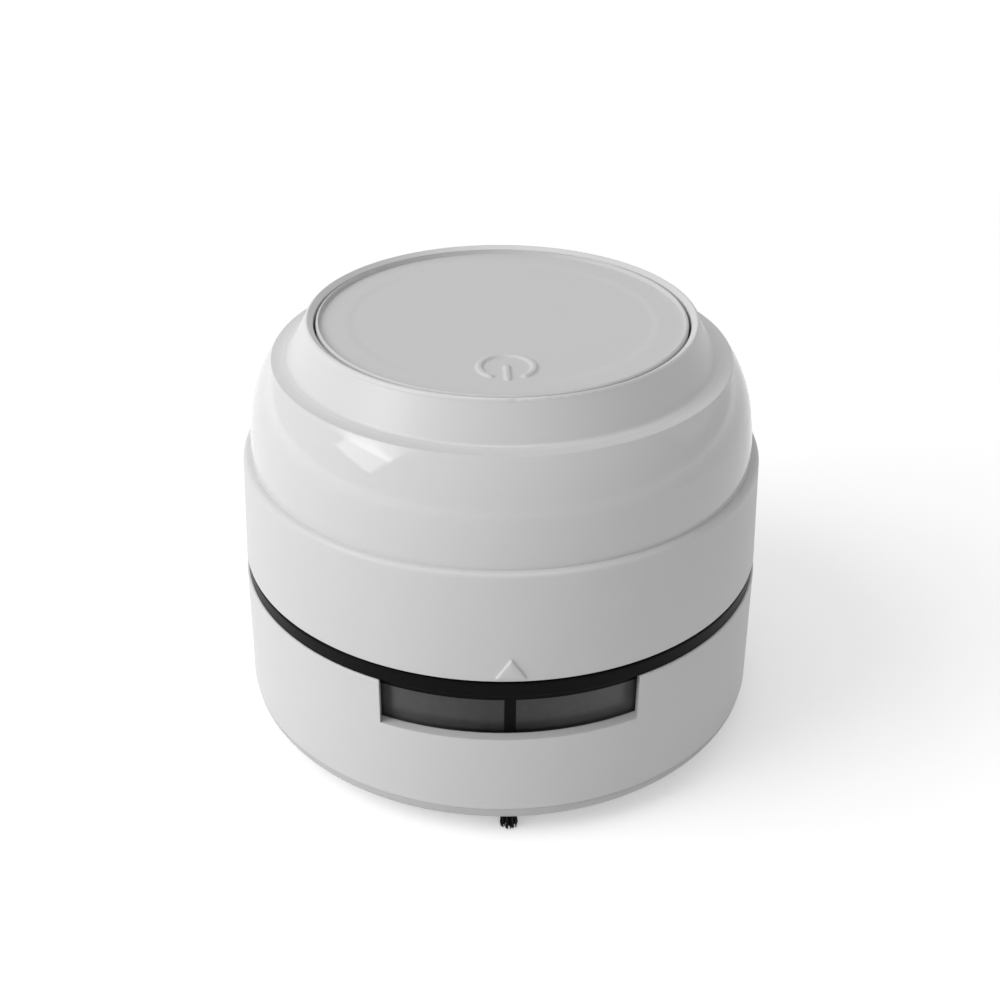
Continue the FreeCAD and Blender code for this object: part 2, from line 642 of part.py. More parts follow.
def make_base_plate():
    """The underside: bevelled rim, brush channel, wheel housings with cheeks, slots, screw recesses."""
    body = new_body("base_plate")
    revolve(body, outline(body, "base_profile", "XZ_Plane", [
        (0, "base_height"),
        ("base_flat_radius", "base_height", "base_bevel_curve", 1),
        ("cup_foot_radius - 0.05", "base_bevel_top"),
        ("cup_foot_bore - 0.3", "base_bevel_top"),
        ("cup_foot_bore - 1.2", "base_plate_top"),
        (0, "base_plate_top"),
    ]))
    channel = rectangle(body, "channel_block", "XY_Plane", "-channel_half_width - housing_wall",
                        "channel_half_width + housing_wall", "-channel_half_length - 0.55",
                        "channel_half_length + 0.55", "base_height + 0.5")
    pad(body, channel, "housing_top - base_height - 0.5")
    for i, (x, y) in enumerate(corners_of("roller_across", "roller_along")):
        half = ("roller_radius + roller_gap + housing_wall", "axle_half_length + 0.3 + housing_wall")
        block = rectangle(body, f"wheel_block_{i}", "XY_Plane", f"{x} - ({half[0]})", f"{x} + ({half[0]})",
                          f"{y} - ({half[1]})", f"{y} + ({half[1]})", "base_height + 0.5")
        pad(body, block, "housing_top - base_height - 0.5")
        room = ("roller_radius + roller_gap", "roller_half_width + roller_gap")
        well = rectangle(body, f"wheel_well_{i}", "XY_Plane", f"{x} - ({room[0]})", f"{x} + ({room[0]})",
                         f"{y} - ({room[1]})", f"{y} + ({room[1]})", "base_height - 1")
        pocket(body, well, "2 * roller_radius + roller_gap - base_height + 1")
        for side in (-1, 1):
            near = f"{y} + {side} * (roller_half_width + roller_gap + cheek_thickness / 2)"
            cheek = rectangle(body, f"cheek_{i}_{side + 2}", "XY_Plane", f"{x} - cheek_half_width",
                              f"{x} + cheek_half_width", f"({near}) - cheek_thickness / 2",
                              f"({near}) + cheek_thickness / 2", "cheek_foot")
            pad(body, cheek, "base_height - cheek_foot + 0.5")
    groove = rectangle(body, "channel", "XY_Plane", "-channel_half_width", "channel_half_width",
                       "-channel_half_length", "channel_half_length", "base_height - 1")
    pocket(body, groove, "channel_roof - base_height + 1")
    for side in (-1, 1):
        axles = circles(body, f"axle_hole_{side + 2}", "XZ_Plane",
                        [("-1 * roller_across", "roller_radius"), ("roller_across", "roller_radius")],
                        "axle_radius + 0.02", f"{side} * roller_along - axle_half_length - 0.1")
        pocket(body, axles, "2 * axle_half_length + 0.2")
        slot = rounded_box(body, f"base_slot_{side + 2}", "XY_Plane", (f"{side} * slot_middle", 0),
                           ("slot_half_width", "slot_half_length"), "slot_corner", "base_height - 1")
        pocket(body, slot, "base_plate_top - base_height + 2")
    recess = circles(body, "head_recess", "XY_Plane", corners_of("boss_across", "boss_along"),
                     "head_recess_radius", "base_height - 1")
    pocket(body, recess, "head_recess_depth + 1")
    holes = circles(body, "screw_hole", "XY_Plane", corners_of("boss_across", "boss_along"),
                    "screw_clearance", "base_height - 1")
    pocket(body, holes, "base_plate_top - base_height + 2")
    return finish(body, "base_plate")


def make_intake_duct():
    """The oval chimney over the suction slots, with a deflector on four posts that turns the air aside."""
    body = new_body("intake_duct")
    foot = rounded_box(body, "duct_foot_plate", "XY_Plane", (0, 0),
                       ("duct_half_width + duct_foot_reach", "duct_half_length + duct_foot_reach"),
                       "duct_corner + duct_foot_reach", "duct_foot")
    pad(body, foot, "duct_foot_top - duct_foot")
    wall = rounded_box(body, "duct_tube", "XY_Plane", (0, 0), ("duct_half_width", "duct_half_length"),
                       "duct_corner", "duct_foot")
    pad(body, wall, "duct_mouth - duct_foot")
    hollow = rounded_box(body, "duct_hollow", "XY_Plane", (0, 0),
                         ("duct_half_width - duct_wall", "duct_half_length - duct_wall"),
                         "duct_corner - duct_wall", "duct_foot - 1")
    pocket(body, hollow, "duct_mouth - duct_foot + 2")
    for i, (x, y) in enumerate(corners_of("(duct_half_width - duct_wall / 2)", "post_along")):
        post = rectangle(body, f"post_{i}", "XY_Plane", f"{x} - duct_wall / 2", f"{x} + duct_wall / 2",
                         f"{y} - post_half_width", f"{y} + post_half_width", "duct_mouth - 0.5")
        pad(body, post, "deflector_foot - duct_mouth + 1")
    roof = rounded_box(body, "deflector", "XY_Plane", (0, 0), ("duct_half_width", "duct_half_length"),
                       "duct_corner", "deflector_foot")
    pad(body, roof, "deflector_top - deflector_foot")
    return finish(body, "intake_duct")


def make_window_ring():
    """The black ring on the cup: flange, filter ledge, bayonet collar with hooks and stops, window's rib."""
    body = new_body("window_ring")
    revolve(body, outline(body, "ring_profile", "XZ_Plane", [
        ("ledge_radius", "ledge_foot"),
        ("skirt_bore", "ledge_foot"),
        ("skirt_bore", "skirt_foot"),
        ("skirt_radius", "skirt_foot"),
        ("skirt_radius", "ring_foot"),
        ("ring_radius", "ring_foot"),
        ("ring_radius", "ring_top - edge_round", "edge_round", 1),
        ("ring_radius - edge_round", "ring_top"),
        ("collar_radius", "ring_top"),
        ("collar_radius", "collar_height"),
        ("collar_bore", "collar_height"),
        ("collar_bore", "ledge_top"),
        ("ledge_radius", "ledge_top"),
    ]))
    rib = rectangle(body, "rib", "XY_Plane", "-rib_half_width", "rib_half_width", "0.02 - skirt_radius",
                    "-rib_root", "sill_height + 0.05")
    pad(body, rib, "skirt_foot - sill_height + 0.45")
    hook_angle = "-91 - lock_turn"
    hook = sector(body, "hook", "collar_radius - 0.3", "hook_radius", hook_angle, "hook_half_angle",
                  "hook_foot")
    around(body, pad(body, hook, "collar_height - hook_foot"), "bayonet_count")
    stop_angle = f"({hook_angle}) - hook_half_angle + stop_half_angle"
    stop = sector(body, "stop", "collar_radius - 0.3", "hook_radius", stop_angle, "stop_half_angle",
                  "ring_top - 0.3")
    around(body, pad(body, stop, "hook_foot - ring_top + 0.6"), "bayonet_count")
    keyway = rectangle(body, "keyway", "XY_Plane", "collar_bore - 1", "key_radius + key_gap",
                       "-key_half_width - key_gap", "key_half_width + key_gap", "ledge_top")
    around(body, pocket(body, keyway, "collar_height - ledge_top + 1"), 2)
    return finish(body, "window_ring")


def make_window_pane():
    """The smoky strip behind the notch, with a lap that sits behind the sill."""
    body = new_body("window_pane")
    revolve(body, outline(body, "pane_profile", "YZ_Plane", [
        ("-pane_inner_radius", "pane_foot"),
        ("-pane_inner_radius", "pane_top"),
        ("-pane_radius", "pane_top"),
        ("-pane_radius", "pane_lap"),
        ("-skirt_radius", "pane_lap"),
        ("-skirt_radius", "pane_foot"),
    ]), "2 * pane_half_angle")
    return finish(body, "window_pane")


def make_brush():
    """The bar in the channel, and its row of bristle tufts."""
    body = new_body("brush_holder")
    bar = rounded_box(body, "bar", "XY_Plane", (0, 0), ("holder_half_width", "holder_half_length"), 1,
                      "holder_foot")
    pad(body, bar, "holder_top - holder_foot")
    finish(body, "brush_holder")
    tufts = []
    for i in range(int(number("tuft_count"))):
        ends = []
        for end, radius, height in (("tip", "tuft_tip_radius", "tuft_foot"),
                                    ("root", "tuft_root_radius", "holder_foot")):
            face = document.addObject("Part::RegularPolygon", f"tuft_{end}_{i}")
            face.setExpression("Polygon", bound("tuft_sides"))
            face.setExpression("Circumradius", bound(radius))
            face.setExpression("Placement.Base.y", bound(f"({i} - (tuft_count - 1) / 2) * tuft_pitch"))
            face.setExpression("Placement.Base.z", bound(height))
            ends.append(face)
        tuft = document.addObject("Part::Loft", f"tuft_{i}")
        tuft.Sections = ends
        tuft.Solid = True
        tuft.Ruled = True
        tufts.append(tuft)
    group("brush_tufts", tufts)


def make_rollers():
    """Four barrel wheels that roll across the brush, and the four axles in their cheeks."""
    names = ["roller_front_left", "roller_rear_left", "roller_front_right", "roller_rear_right"]
    axles = []
    for name, (x, y) in zip(names, corners_of("roller_across", "roller_along")):
        body = new_body(name)
        revolve(body, outline(body, name + "_profile", "XZ_Plane", [
            ("roller_bore", "-roller_half_width"),
            ("roller_radius - edge_round", "-roller_half_width"),
            ("roller_radius", "edge_round - roller_half_width"),
            ("roller_radius", "roller_half_width - edge_round"),
            ("roller_radius - edge_round", "roller_half_width"),
            ("roller_bore", "roller_half_width"),
        ]))
        place = Vector(number(x), number(y), number("roller_radius"))
        body.Placement = Placement(place, Rotation(Vector(1, 0, 0), 90))
        finish(body, name)
        axle = document.addObject("Part::Cylinder", name + "_axle")
        axle.setExpression("Radius", bound("axle_radius"))
        axle.setExpression("Height", bound("2 * axle_half_length"))
        axle.Placement = Placement(Vector(0, 0, 0), Rotation(Vector(1, 0, 0), 90))
        axle.setExpression("Placement.Base.x", bound(x))
        axle.setExpression("Placement.Base.y", bound(f"{y} + axle_half_length"))
        axle.setExpression("Placement.Base.z", bound("roller_radius"))
        axles.append(axle)
    group("roller_axles", axles)


def screws(label, spots, head_radius, head_foot, head_top, shank_radius, shank_foot, shank_top):
    """Identical screws: a flat head and a plain shank, one above or below the other."""
    items = []
    for i, (x, y) in enumerate(spots):
        head = cylinder(f"{label}_head_{i}", head_radius, head_foot, head_top, x, y)
        shank = cylinder(f"{label}_shank_{i}", shank_radius, shank_foot, shank_top, x, y)
        items.append(boolean("Fuse", f"{label}_{i}", head, shank))
    return group(label, items)


# Filter

def make_filter():
    """A shallow basket that hangs in the ring, its mesh on six spokes, and the seal on its flange."""
    body = new_body("filter_frame")
    revolve(body, outline(body, "basket_profile", "XZ_Plane", [
        ("filter_wall_radius - filter_wall - filter_lip", "filter_foot"),
        ("filter_wall_radius - edge_round", "filter_foot", "edge_round", 1),
        ("filter_wall_radius", "filter_foot + edge_round"),
        ("filter_wall_radius", "filter_flange_foot"),
        ("filter_flange_radius", "filter_flange_foot"),
        ("filter_flange_radius", "filter_flange_top"),
        ("filter_wall_radius - filter_wall", "filter_flange_top"),
        ("filter_wall_radius - filter_wall", "filter_spoke_top"),
        ("filter_wall_radius - filter_wall - filter_lip", "filter_spoke_top"),
    ]))
    pad(body, circles(body, "hub", "XY_Plane", [(0, 0)], "filter_hub_radius", "filter_foot"),
        "filter_spoke_top - filter_foot")
    spoke = rectangle(body, "spoke", "XY_Plane", "filter_hub_radius - 0.5",
                      "filter_wall_radius - filter_wall - filter_lip + 0.5", "-spoke_half_width",
                      "spoke_half_width", "filter_foot")
    around(body, pad(body, spoke, "filter_spoke_top - filter_foot"), "spoke_count")
    key = rectangle(body, "key", "XY_Plane", "filter_flange_radius - 0.5", "key_radius", "-key_half_width",
                    "key_half_width", "filter_flange_foot")
    around(body, pad(body, key, "filter_flange_top - filter_flange_foot"), 2)
    finish(body, "filter_frame")
    mesh = cylinder("filter_mesh", "mesh_radius", "filter_spoke_top", "filter_spoke_top + mesh_thickness")
    finish(mesh, "filter_mesh")
    seal = new_body("filter_seal")
    revolve(seal, outline(seal, "seal_profile", "XZ_Plane", [
        ("seal_inner_radius", "filter_flange_top"),
        ("seal_radius", "filter_flange_top"),
        ("seal_radius", "seal_top - edge_round"),
        ("seal_radius - edge_round", "seal_top"),
        ("seal_inner_radius + edge_round", "seal_top"),
        ("seal_inner_radius", "seal_top - edge_round"),
    ]))
    finish(seal, "filter_seal")


# Motor head

def make_body_band():
    """The tapered band: rounded top edge, lugs, pads for the motor plate, pointer, exhaust slots, port."""
    body = new_body("body_band")
    revolve(body, outline(body, "band_profile", "XZ_Plane", [
        ("band_foot_radius - band_wall", "band_foot_height"),
        ("band_foot_radius - edge_round", "band_foot_height", "edge_round", 1),
        ("band_foot_radius", "band_foot_height + edge_round"),
        ("band_top_radius", "band_top_height - band_round", "band_round", 1),
        ("band_top_radius - band_round", "band_top_height"),
        ("band_top_bore", "band_top_height"),
    ]))
    lug = sector(body, "lug", "lug_inner_radius", "band_foot_radius - band_wall / 2", -90, "lug_half_angle",
                 "lug_foot")
    around(body, pad(body, lug, "lug_top - lug_foot"), "bayonet_count")
    for i, angle in enumerate(COVER_SCREW_ANGLES):
        ledge = sector(body, f"ledge_pad_{i}", "ledge_pad_inner", "band_foot_radius - band_wall / 2", angle,
                       "ledge_pad_half_angle", "ledge_pad_foot")
        pad(body, ledge, "plate_foot - ledge_pad_foot - 0.05")
    holes = circles(body, "pad_hole", "XY_Plane", COVER_SCREW_SPOTS, "screw_clearance", "ledge_pad_foot - 1")
    pocket(body, holes, "plate_foot - ledge_pad_foot + 2")
    pointer = outline(body, "pointer", "XZ_Plane", [
        ("-pointer_half_width", "pointer_foot"),
        ("pointer_half_width", "pointer_foot"),
        (0, "pointer_tip"),
    ], "pointer_root")
    pad(body, pointer, "pointer_face - pointer_root")
    first_turn = 180 - number("vent_step * (vent_count - 1) / 2")
    slot = rectangle(body, "vent", "XZ_Plane", "-vent_half_width", "vent_half_width", "vent_foot", "vent_top",
                     0, first_turn)
    vent = pocket(body, slot, "band_foot_radius + 1")
    around(body, vent, "vent_count", "vent_step * (vent_count - 1)")
    port = rounded_box(body, "port", "XZ_Plane", (0, "port_height"), ("port_half_width", "port_half_height"),
                       "port_corner", "-band_foot_radius - 1")
    pocket(body, port, "band_foot_radius / 2")
    return finish(body, "body_band")


def make_upper_cover():
    """The glossy dome with its collar: a turned shell with the button's well, spring cups, screw bosses."""
    body = new_body("upper_cover")
    revolve(body, outline(body, "cover_profile", "XZ_Plane", [
        (0, "well_floor_underside"),
        ("button_well_radius + well_wall", "well_floor_underside"),
        ("button_well_radius + well_wall", "collar_core_top"),
        ("button_well_radius + well_wall + collar_core_width", "collar_core_top"),
        ("core_foot_radius", "core_foot_height"),
        ("shoulder_bore_radius", "shoulder_bore_height", "shoulder_bore_curve", -1),
        ("waist_bore_radius", "waist_bore_height"),
        ("spigot_bore", "dome_foot_height"),
        ("spigot_bore", "spigot_foot"),
        ("spigot_radius", "spigot_foot"),
        ("spigot_radius", "dome_foot_height - 0.3"),
        ("dome_foot_radius", "dome_foot_height", "dome_side_curve", 1),
        ("dome_waist_radius", "dome_waist_height", "dome_shoulder_curve", 1),
        ("valley_outer_radius", "valley_outer_height", "valley_curve", -1),
        ("valley_inner_radius", "valley_inner_height", "collar_foot_curve", -1),
        ("collar_foot_radius", "collar_foot_height"),
        ("collar_top_radius", "collar_top_height", "collar_crown_curve", 1),
        ("crest_radius", "crest_height"),
        ("button_well_radius", "button_well_edge"),
        ("button_well_radius", "well_floor"),
        (0, "well_floor"),
    ]))
    cup_spot = on_circle("spring_circle", 30)
    cups = circles(body, "spring_cup", "XY_Plane", [cup_spot], "spring_cup_radius", "spring_cup_foot")
    around(body, pad(body, cups, "well_floor_underside - spring_cup_foot + 0.5"), "leg_count")
    bores = circles(body, "spring_bore", "XY_Plane", [cup_spot], "spring_cup_bore", "spring_seat")
    around(body, pocket(body, bores, "well_floor - spring_seat + 1"), "leg_count")
    leg = rectangle(body, "leg_slot", "YZ_Plane", "leg_circle - leg_thickness - leg_gap",
                    "leg_circle + hook_reach + leg_gap", "well_floor_underside - 1", "well_floor + 1",
                    "-leg_half_width - leg_gap")
    around(body, pocket(body, leg, "2 * (leg_half_width + leg_gap)"), "leg_count")
    stem = circles(body, "stem_hole", "XY_Plane", [("stem_across", "stem_along")], "stem_radius + stem_gap",
                   "well_floor_underside - 1")
    pocket(body, stem, "well_floor - well_floor_underside + 2")
    bosses = circles(body, "cover_boss", "XY_Plane", COVER_SCREW_SPOTS, "cover_boss_radius", "spigot_foot")
    pad(body, bosses, "cover_boss_top - spigot_foot")
    pilots = circles(body, "cover_pilot", "XY_Plane", COVER_SCREW_SPOTS, "cover_pilot_radius",
                     "spigot_foot - 1")
    pocket(body, pilots, "cover_pilot_depth + 1")
    port = rounded_box(body, "cover_port", "XZ_Plane", (0, "port_height"),
                       ("port_half_width", "port_half_height"), "port_corner", "-band_foot_radius - 1")
    pocket(body, port, "band_foot_radius / 2")
    return finish(body, "upper_cover")


def make_top_button():
    """The whole top disc: rounded edge, skirt, raised power symbol, three snap legs, spring pins, a stem."""
    body = new_body("top_button")
    revolve(body, outline(body, "button_profile", "XZ_Plane", [
        (0, "button_underside"),
        ("button_radius - button_skirt_wall", "button_underside"),
        ("button_radius - button_skirt_wall", "button_skirt_foot"),
        ("button_radius", "button_skirt_foot"),
        ("button_radius", "button_height - button_round", "button_round", 1),
        ("button_radius - button_round", "button_height"),
        ("dish_radius", "button_height - dish_depth"),
        (0, "button_height - dish_depth"),
    ]))
    gap = "icon_gap_angle"
    centre = "icon_along"
    arc = outline(body, "symbol_arc", "XY_Plane", [
        (f"icon_inner * sin({gap})", f"{centre} - icon_inner * cos({gap})"),
        (f"icon_outer * sin({gap})", f"{centre} - icon_outer * cos({gap})", "icon_outer", 1),
        ("icon_outer", centre, "icon_outer", 1),
        (0, f"{centre} + icon_outer", "icon_outer", 1),
        ("-icon_outer", centre, "icon_outer", 1),
        (f"-icon_outer * sin({gap})", f"{centre} - icon_outer * cos({gap})"),
        (f"-icon_inner * sin({gap})", f"{centre} - icon_inner * cos({gap})", "icon_inner", -1),
        ("-icon_inner", centre, "icon_inner", -1),
        (0, f"{centre} + icon_inner", "icon_inner", -1),
        ("icon_inner", centre, "icon_inner", -1),
    ], "button_height - 0.7")
    pad(body, arc, "icon_raise + 0.5")
    bar = rounded_box(body, "symbol_bar", "XY_Plane", (0, f"{centre} + (icon_bar_top + icon_bar_foot) / 2"),
                      ("icon_bar_half_width", "(icon_bar_top - icon_bar_foot) / 2"), 0.3,
                      "button_height - 0.7")
    pad(body, bar, "icon_raise + 0.5")
    pin = circles(body, "spring_pin", "XY_Plane", [on_circle("spring_circle", 30)], "pin_radius", "pin_foot")
    around(body, pad(body, pin, "button_underside - pin_foot + 0.5"), "leg_count")
    leg = outline(body, "snap_leg", "YZ_Plane", [
        ("leg_circle - leg_thickness", "leg_foot"),
        ("leg_circle", "leg_foot"),
        ("leg_circle + hook_reach", "hook_top - 0.5"),
        ("leg_circle + hook_reach", "hook_top"),
        ("leg_circle", "hook_top"),
        ("leg_circle", "button_underside + 0.5"),
        ("leg_circle - leg_thickness", "button_underside + 0.5"),
    ], "-leg_half_width")
    around(body, pad(body, leg, "2 * leg_half_width"), "leg_count")
    stem = circles(body, "stem", "XY_Plane", [("stem_across", "stem_along")], "stem_radius", "stem_foot")
    pad(body, stem, "button_underside - stem_foot + 0.5")
    return finish(body, "top_button")


def make_springs():
    """Three coil springs under the button, each a six-sided wire carried along a helix."""
    coils = []
    for i in range(int(number("leg_count"))):
        helix = document.addObject("Part::Helix", f"coil_line_{i}")
        helix.setExpression("Radius", bound("spring_radius"))
        rise = "(button_underside - spring_seat - 2 * spring_wire - 0.1)"
        helix.setExpression("Pitch", bound(f"{rise} / spring_turns"))
        helix.setExpression("Height", bound(rise))
        wire = document.addObject("Part::RegularPolygon", f"coil_wire_{i}")
        wire.Polygon = 6
        wire.setExpression("Circumradius", bound("spring_wire"))
        wire.Placement = Placement(Vector(number("spring_radius"), 0, 0), Rotation(Vector(1, 0, 0), 90))
        document.recompute()
        coil = document.addObject("Part::Sweep", f"coil_{i}")
        coil.Sections = [wire]
        coil.Spine = (helix, [f"Edge{n + 1}" for n in range(len(helix.Shape.Edges))])
        coil.Solid = True
        coil.Frenet = True
        x, y = on_circle("spring_circle", f"{30 + 360 / number('leg_count') * i}")
        foot = number("spring_seat + spring_wire + 0.05")
        coil.Placement = Placement(Vector(number(x), number(y), foot), NO_TURN)
        coils.append(coil)
    group("button_springs", coils)


def make_motor_plate():
    """The floor of the motor head: a disc with the motor's seat, standoffs for the board and screw holes."""
    body = new_body("motor_plate")
    revolve(body, outline(body, "plate_profile", "XZ_Plane", [
        ("plate_hole", "plate_foot"),
        ("plate_radius", "plate_foot"),
        ("plate_radius", "plate_top"),
        ("seat_radius", "plate_top"),
        ("seat_radius", "seat_height"),
        ("seat_bore", "seat_height"),
        ("seat_bore", "plate_top"),
        ("plate_hole", "plate_top"),
    ]))
    pad(body, circles(body, "standoff", "XY_Plane", STANDOFF_SPOTS, "standoff_radius", "plate_top - 0.3"),
        "board_foot - plate_top + 0.25")
    pocket(body, circles(body, "standoff_pilot", "XY_Plane", STANDOFF_SPOTS, "cover_pilot_radius",
                         "plate_foot + 0.4"), "board_foot - plate_foot")
    pocket(body, circles(body, "cover_screw_hole", "XY_Plane", COVER_SCREW_SPOTS, "screw_clearance",
                         "plate_foot - 1"), "plate_top - plate_foot + 2")
    pocket(body, circles(body, "motor_screw_hole", "XY_Plane", MOTOR_SCREW_SPOTS, "screw_clearance",
                         "plate_foot - 1"), "plate_top - plate_foot + 2")
    pocket(body, circles(body, "motor_head_recess", "XY_Plane", MOTOR_SCREW_SPOTS, "head_recess_radius",
                         "plate_foot - 1"), "motor_head_depth + 1")
    pocket(body, circles(body, "shroud_pilot", "XY_Plane", EAR_SPOTS, "cover_pilot_radius", "plate_foot - 1"),
           "plate_top - plate_foot + 0.7")
    return finish(body, "motor_plate")


def make_fan_shroud():
    """The housing round the fan: plate with a lipped eye, wall with outlets to the rear, three ears."""
    body = new_body("fan_shroud")
    revolve(body, outline(body, "shroud_profile", "XZ_Plane", [
        ("eye_radius", "shroud_foot + 0.6", 0.6, 1),
        ("eye_radius + 0.6", "shroud_foot"),
        ("shroud_plate_radius", "shroud_foot"),
        ("shroud_plate_radius", "shroud_foot + shroud_plate"),
        ("shroud_radius", "shroud_foot + shroud_plate"),
        ("shroud_radius", "shroud_top"),
        ("shroud_bore", "shroud_top"),
        ("shroud_bore", "shroud_foot + shroud_plate"),
        ("eye_lip_radius", "shroud_foot + shroud_plate"),
        ("eye_lip_radius", "eye_lip_top"),
        ("eye_radius", "eye_lip_top"),
    ]))
    first_turn = 180 - number("outlet_step * (outlet_count - 1) / 2")
    opening = rectangle(body, "outlet", "XZ_Plane", "-outlet_half_width", "outlet_half_width", "window_foot",
                        "window_top", 0, first_turn)
    around(body, pocket(body, opening, "shroud_radius + 1"), "outlet_count",
           "outlet_step * (outlet_count - 1)")
    ear = circles(body, "ear", "XY_Plane", [on_circle("ear_circle", 90)], "ear_radius", "ear_foot")
    around(body, pad(body, ear, "shroud_top - ear_foot"), "ear_count")
    hole = circles(body, "ear_hole", "XY_Plane", [on_circle("ear_circle", 90)], "screw_clearance",
                   "ear_foot - 1")
    around(body, pocket(body, hole, "shroud_top - ear_foot + 2"), "ear_count")
    return finish(body, "fan_shroud")


def make_impeller():
    """The fan: a disc and hub with backward-leaning blades, each a curved strip cut lower towards its tip."""
    body = new_body("impeller")
    revolve(body, outline(body, "fan_profile", "XZ_Plane", [
        ("shaft_radius", "hub_foot"),
        ("hub_nose", "hub_foot", "hub_radius - hub_nose", 1),
        ("hub_radius", "hub_foot + hub_radius - hub_nose"),
        ("hub_radius", "fan_disc_foot - 1", 1, -1),
        ("hub_radius + 1", "fan_disc_foot"),
        ("fan_radius", "fan_disc_foot"),
        ("fan_radius", "fan_disc_top"),
        ("shaft_radius", "fan_disc_top"),
    ]))
    inner, outer = "(blade_curve - blade_thickness / 2)", "(blade_curve + blade_thickness / 2)"
    blade = outline(body, "blade", "XY_Plane", [
        ("blade_root", 0, outer, -1),
        ("blade_tip * cos(blade_sweep)", "-blade_tip * sin(blade_sweep)"),
        ("(blade_tip + blade_thickness) * cos(blade_sweep) + 0.2",
         "-1 * (blade_tip - 0.4) * sin(blade_sweep)", inner, 1),
        ("blade_root + blade_thickness", "0.3 * blade_thickness"),
    ], "blade_foot")
    around(body, pad(body, blade, "fan_disc_foot - blade_foot + 0.4"), "blade_count")
    taper = outline(body, "blade_taper", "XZ_Plane", [
        ("eye_radius", "blade_foot - 1"),
        ("fan_radius + 2", "blade_foot - 1"),
        ("fan_radius + 2", "blade_tip_foot"),
        ("eye_radius", "blade_foot"),
    ])
    groove = body.newObject("PartDesign::Groove", "blade_taper_cut")
    groove.Profile = taper
    groove.ReferenceAxis = (taper, ["V_Axis"])
    before = body.Shape.Volume
    document.recompute()
    if not body.Shape.Volume < before - 1e-4:
        raise RuntimeError("the taper cuts nothing")
    return finish(body, "impeller")


def make_motor():
    """A small round can motor: drawn can with its bearing boss, end cap with terminals, and the shaft."""
    can = new_body("motor_can")
    bore = "shaft_radius + shaft_running_gap"
    revolve(can, outline(can, "can_profile", "XZ_Plane", [
        (bore, "motor_boss_foot"),
        ("motor_boss_radius", "motor_boss_foot"),
        ("motor_boss_radius", "motor_foot"),
        ("motor_radius - motor_round", "motor_foot", "motor_round", 1),
        ("motor_radius", "motor_foot + motor_round"),
        ("motor_radius", "motor_top"),
        (bore, "motor_top"),
    ]))
    threads = circles(can, "motor_thread", "XY_Plane", MOTOR_SCREW_SPOTS, "motor_screw_radius + 0.02",
                      "motor_foot - 1")
    pocket(can, threads, "motor_thread_depth + 1")
    finish(can, "motor_can")
    cap = new_body("motor_end_cap")
    revolve(cap, outline(cap, "cap_profile", "XZ_Plane", [
        (bore, "motor_top + 0.02"),
        ("cap_radius", "motor_top + 0.02"),
        ("cap_radius", "cap_top - 0.6"),
        ("cap_radius - 0.6", "cap_top"),
        ("cap_bearing_radius", "cap_top"),
        ("cap_bearing_radius", "cap_bearing_top"),
        (0, "cap_bearing_top"),
        (0, "shaft_top + 0.1"),
        (bore, "shaft_top + 0.1"),
    ]))
    finish(cap, "motor_end_cap")
    terminals = [box(f"terminal_{side + 2}", f"{side} * 6.5 - 1.2", f"{side} * 6.5 + 1.2", -0.2, 0.2,
                     "cap_top + 0.02", "cap_top + 1.4") for side in (-1, 1)]
    group("motor_terminals", terminals)
    finish(cylinder("motor_shaft", "shaft_radius", "shaft_foot", "shaft_top"), "motor_shaft")


def make_battery():
    """A single round cell lying across the head, in a cradle with end walls."""
    cell = new_body("battery_cell")
    revolve(cell, outline(cell, "cell_profile", "YZ_Plane", [
        (0, "-cell_half_length"),
        ("cell_radius - 0.5", "-cell_half_length", 0.5, 1),
        ("cell_radius", "0.5 - cell_half_length"),
        ("cell_radius", "cell_half_length - 1.6"),
        ("cell_radius - 0.7", "cell_half_length - 0.9"),
        (2.7, "cell_half_length - 0.9"),
        (2.7, "cell_half_length"),
        (0, "cell_half_length"),
    ]))
    place = Vector(0, number("cell_along"), number("cell_height"))
    cell.Placement = Placement(place, Rotation(Vector(0, 1, 0), 90))
    finish(cell, "battery_cell")
    cradle = new_body("battery_cradle")
    block = rectangle(cradle, "cradle_block", "YZ_Plane", "cell_along - cradle_half_width",
                      "cell_along + cradle_half_width", "plate_top + 0.05", "cradle_height",
                      "-cradle_half_length")
    pad(cradle, block, "2 * cradle_half_length")
    for i, low in enumerate(("-cradle_half_length", "cradle_half_length - cradle_end")):
        end = rounded_box(cradle, f"cradle_end_wall_{i}", "YZ_Plane",
                          ("cell_along", "(cradle_end_height + plate_top) / 2 + 0.025"),
                          ("cradle_half_width - 1", "(cradle_end_height - plate_top) / 2 - 0.025"), 1.5, low)
        pad(cradle, end, "cradle_end")
    trough = circles(cradle, "trough", "YZ_Plane", [("cell_along", "cell_height")],
                     "cell_radius + cradle_gap", "cradle_end - cradle_half_length")
    pocket(cradle, trough, "2 * (cradle_half_length - cradle_end)")
    finish(cradle, "battery_cradle")


